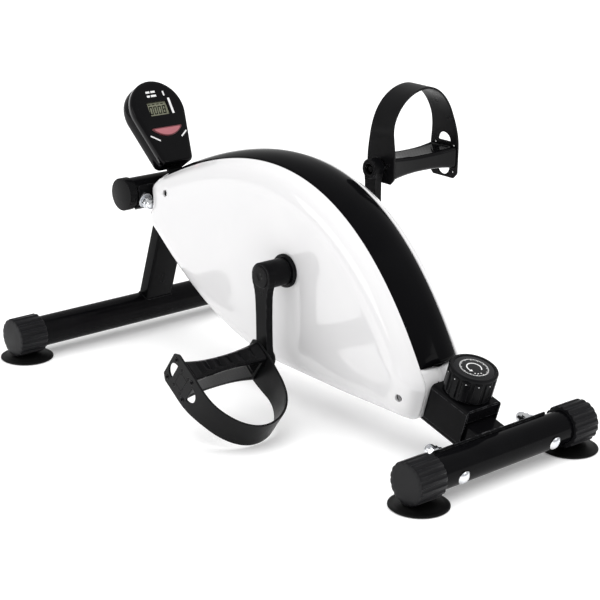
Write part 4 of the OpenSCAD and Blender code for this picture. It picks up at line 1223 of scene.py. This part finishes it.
def case_wall(bm, profile):
    """Sweeps a profile of (inset, x) round the drop outline."""
    return skin(bm, [upright(drop(inset), x) for inset, x in profile], wrap_cols=True)


bm = bmesh.new()
rear = [(2.4, -SPLIT), (0.3, -SPLIT), (0, -SPLIT - 0.3), (0, -CASE_T + 6), (0.5, -CASE_T + 4),
        (1.7, -CASE_T + 2.2), (3.6, -CASE_T + 0.8), (5.6, -CASE_T + 0.15), (7.6, -CASE_T)]
close_ends(bm, case_wall(bm, rear))
piece("monitor_rear_case", bm, MONITOR, "black_plastic", finish="case_gloss", sharp=50)

bm = bmesh.new()
front = [(2.4, -SPLIT + 0.1), (0.3, -SPLIT + 0.1), (0, -SPLIT + 0.4), (0, -3.4), (0.35, -2.2),
         (1.1, -1.2), (2.4, -0.4), (4, -0.05), (5, 0)]
case_wall(bm, front)
lcd_hole = box_outline(LCD[0] - 0.1, LCD[1] + 0.1, LCD[2] - 0.1, LCD[3] + 0.1, 1.2, 4)
face_holes = [lcd_hole, chord_shape(0.3)]
cut_sheet(bm, drop(front[-1][0]), face_holes, 4, lambda y, z: Vector((0, y, z)))
for hole in face_holes:
    skin(bm, [upright(hole, x) for x in (0, -4)], wrap_cols=True)
bmesh.ops.remove_doubles(bm, verts=bm.verts, dist=0.01)
piece("monitor_front_case", bm, MONITOR, "black_gloss", finish="case_gloss", sharp=50)

bm = bmesh.new()
prism(bm, box_outline(*LCD, 1.0, 4), -3.6, LCD_FACE, FACE)
piece("lcd_panel", bm, MONITOR, "lcd", stands_for=["lcd_panel", "lcd_window"], bevel=0.15, steps=2)

SEGMENTS = {"0": "abcdef", "8": "abcdefg"}


def digit(bm, char, y, z, w, h, t):
    """A slanted seven segment digit, w wide and h high, with bars t thick."""
    bars = {"a": (0, h - t, w, h), "d": (0, 0, w, t), "g": (0, (h - t) / 2, w, (h + t) / 2),
            "f": (0, h / 2, t, h), "b": (w - t, h / 2, w, h), "e": (0, 0, t, h / 2),
            "c": (w - t, 0, w, h / 2)}
    slack, slant = 0.12, 0.12
    for key in SEGMENTS[char]:
        a, b, c, d = bars[key]
        bar = box_outline(y + a + slack, y + c - slack, z + b + slack, z + d - slack)
        prism(bm, [(p + (q - z) * slant, q) for p, q in bar], *INK, FACE)


bm = bmesh.new()
for k, char in enumerate("0008"):
    digit(bm, char, -13.6 + 6.1 * k, 54.6, 4.8, 10.2, 1.45)
for k in range(4):
    prism(bm, box_outline(-12.5 + 6 * k, -9 + 6 * k, 66.6, 67.6), INK[0], -2.3, FACE)
piece("lcd_digits", bm, MONITOR, "lcd", stands_for=(), finish="lcd_ink", sharp=30)


def slanted_bar(start, end, thick=1.7):
    a, b = Vector(start), Vector(end)
    ahead = (b - a).normalized()
    across = Vector((-ahead.y, ahead.x)) * thick / 2
    return [tuple(p) for p in (a - across, b - across, b + across, a + across)]


# Plain bars stand where the photograph shows words
bm = bmesh.new()
words = ((-11, -5.6, 80.6, 83), (-4, 2, 80.6, 83), (-11, -7, 75.6, 78), (-5.5, 2, 75.6, 78),
         (11.8, 13.7, 75.5, 81.3), (15.5, 18.5, 52.5, 72))
bars = [box_outline(*word, 0.3, 2) for word in words]
bars += [slanted_bar((-25.9, 29), (-14.9, 21.6)), slanted_bar((16, 23), (25.3, 29.3))]
for outline in bars:
    prism(bm, outline, -0.05, 0.12, FACE)
piece("monitor_marks", bm, MONITOR, "black_gloss", stands_for=(), finish="white_print", sharp=30)


def button_rows(steps):
    """Rows round the button's outline, with its two corners rounded."""
    rows, count = [], 90
    for grow, x in steps:
        line = resample(chord_shape(grow), count, closed=True)
        for _ in range(5):
            line = [tuple((line[i - 1][k] + line[i][k] + line[(i + 1) % count][k]) / 3
                          for k in (0, 1)) for i in range(count)]
        rows.append(upright(line, x))
    return rows


bm = bmesh.new()
cushion = ((0, -3.5), (0, 0.7), (-0.25, 1.15), (-0.8, 1.35), (-1.6, 1.45))
close_ends(bm, skin(bm, button_rows(cushion), wrap_cols=True))
piece("monitor_button", bm, MONITOR, "button_pink", body="button", sharp=40)

bm = bmesh.new()
rim = ((0.1, 0.2), (0.1, 0.9), (-0.3, 1.4), (-0.8, 1.58), (-1.2, 1.5), (-1.3, 0.9), (-0.9, 0.2))
skin(bm, button_rows(rim), wrap_rows=True, wrap_cols=True)
piece("monitor_button_rim", bm, MONITOR, "button_pink", body="button", stands_for=(),
      finish="button_rim", sharp=50)

# ---- stage, lights and camera ----

scene = bpy.context.scene
scene.view_settings.view_transform = "Standard"
FLOOR_HALF, FLOOR_GAP = 30, 0.0004

floor_bm = bmesh.new()
bmesh.ops.create_grid(floor_bm, x_segments=2, y_segments=2, size=FLOOR_HALF)
floor_mesh = bpy.data.meshes.new("floor")
floor_bm.to_mesh(floor_mesh)
floor_bm.free()
floor = bpy.data.objects.new("floor", floor_mesh)
scene.collection.objects.link(floor)
floor.location.z = -FLOOR_GAP
paper = surface("floor_paper", (0.93, 0.93, 0.93), 0.7, (0.925, 0.925, 0.925), specular=0.2,
                patch=2)
# A little glow of its own keeps wide shadows pale and leaves only the close ones
PAPER_GLOW = 0.15
paper_shader = paper.node_tree.nodes["Principled BSDF"]
paper_shader.inputs["Emission Color"].default_value = (1, 1, 1, 1)
paper_shader.inputs["Emission Strength"].default_value = PAPER_GLOW
floor_mesh.materials.append(paper)

world = bpy.data.worlds.new("studio")
scene.world = world
world.use_nodes = True
sky, sky_links = world.node_tree.nodes, world.node_tree.links
backdrop = sky["Background"]
backdrop.inputs["Color"].default_value = (1, 1, 1, 1)
# The backdrop is white to look at, and only a soft fill as a light
ray = sky.new("ShaderNodeLightPath")
strength = sky.new("ShaderNodeMapRange")
FILL, WHITE = 0.58, 1.0
strength.inputs["To Min"].default_value = FILL
strength.inputs["To Max"].default_value = WHITE
sky_links.new(ray.outputs["Is Camera Ray"], strength.inputs["Value"])
sky_links.new(strength.outputs["Result"], backdrop.inputs["Strength"])


def soft_box(name, place, width, height, power):
    """A rectangular lamp in metres and watts, aimed at the middle of the machine."""
    light = bpy.data.lights.new(name, "AREA")
    light.shape = "RECTANGLE"
    light.size, light.size_y = width, height
    light.energy = power
    lamp = bpy.data.objects.new(name, light)
    lamp.location = place
    lamp.rotation_mode = "QUATERNION"
    lamp.rotation_quaternion = (Vector(LAMP_AIM) - Vector(place)).to_track_quat("-Z", "Y")
    scene.collection.objects.link(lamp)


# One very wide soft light from above keeps the floor white to its far edge. It doesn't show
# in reflections, so black gloss stays black.
wide = bpy.data.lights.new("overhead", "SUN")
wide.energy, wide.angle = 2.5, math.radians(85)
wide_lamp = bpy.data.objects.new("overhead", wide)
wide_lamp.rotation_euler = (math.radians(-8), math.radians(6), 0)
wide_lamp.visible_glossy = False
scene.collection.objects.link(wide_lamp)
LAMP_AIM = (0, 0, 0.12)
soft_box("left_side", (-0.4, -2.4, 1.1), 2.2, 0.9, 12)
soft_box("user_side", (2.4, 0.9, 1.2), 1.6, 0.5, 5)

CAMERA_AT = Vector((1.293516, -1.148182, 0.687558))
AZIMUTH, ELEVATION, ROLL = (math.radians(a) for a in (48.702, 18.589, 0.996))
IMAGE_PX, FOCAL_PX, SENSOR_MM = 600, 1692.05, 36
back_axis = Vector((math.sin(AZIMUTH) * math.cos(ELEVATION),
                    -math.cos(AZIMUTH) * math.cos(ELEVATION), math.sin(ELEVATION)))
flat_right = Vector((math.cos(AZIMUTH), math.sin(AZIMUTH), 0))
flat_up = back_axis.cross(flat_right)
right_axis = flat_right * math.cos(ROLL) + flat_up * math.sin(ROLL)
up_axis = flat_up * math.cos(ROLL) - flat_right * math.sin(ROLL)
camera_data = bpy.data.cameras.new("camera")
camera = bpy.data.objects.new("camera", camera_data)
scene.collection.objects.link(camera)
turn = Matrix((right_axis, up_axis, back_axis)).transposed().to_4x4()
camera.matrix_world = Matrix.Translation(CAMERA_AT) @ turn
camera_data.sensor_width = SENSOR_MM
camera_data.lens = SENSOR_MM * FOCAL_PX / IMAGE_PX
camera_data.clip_start, camera_data.clip_end = 0.05, 50
scene.camera = camera
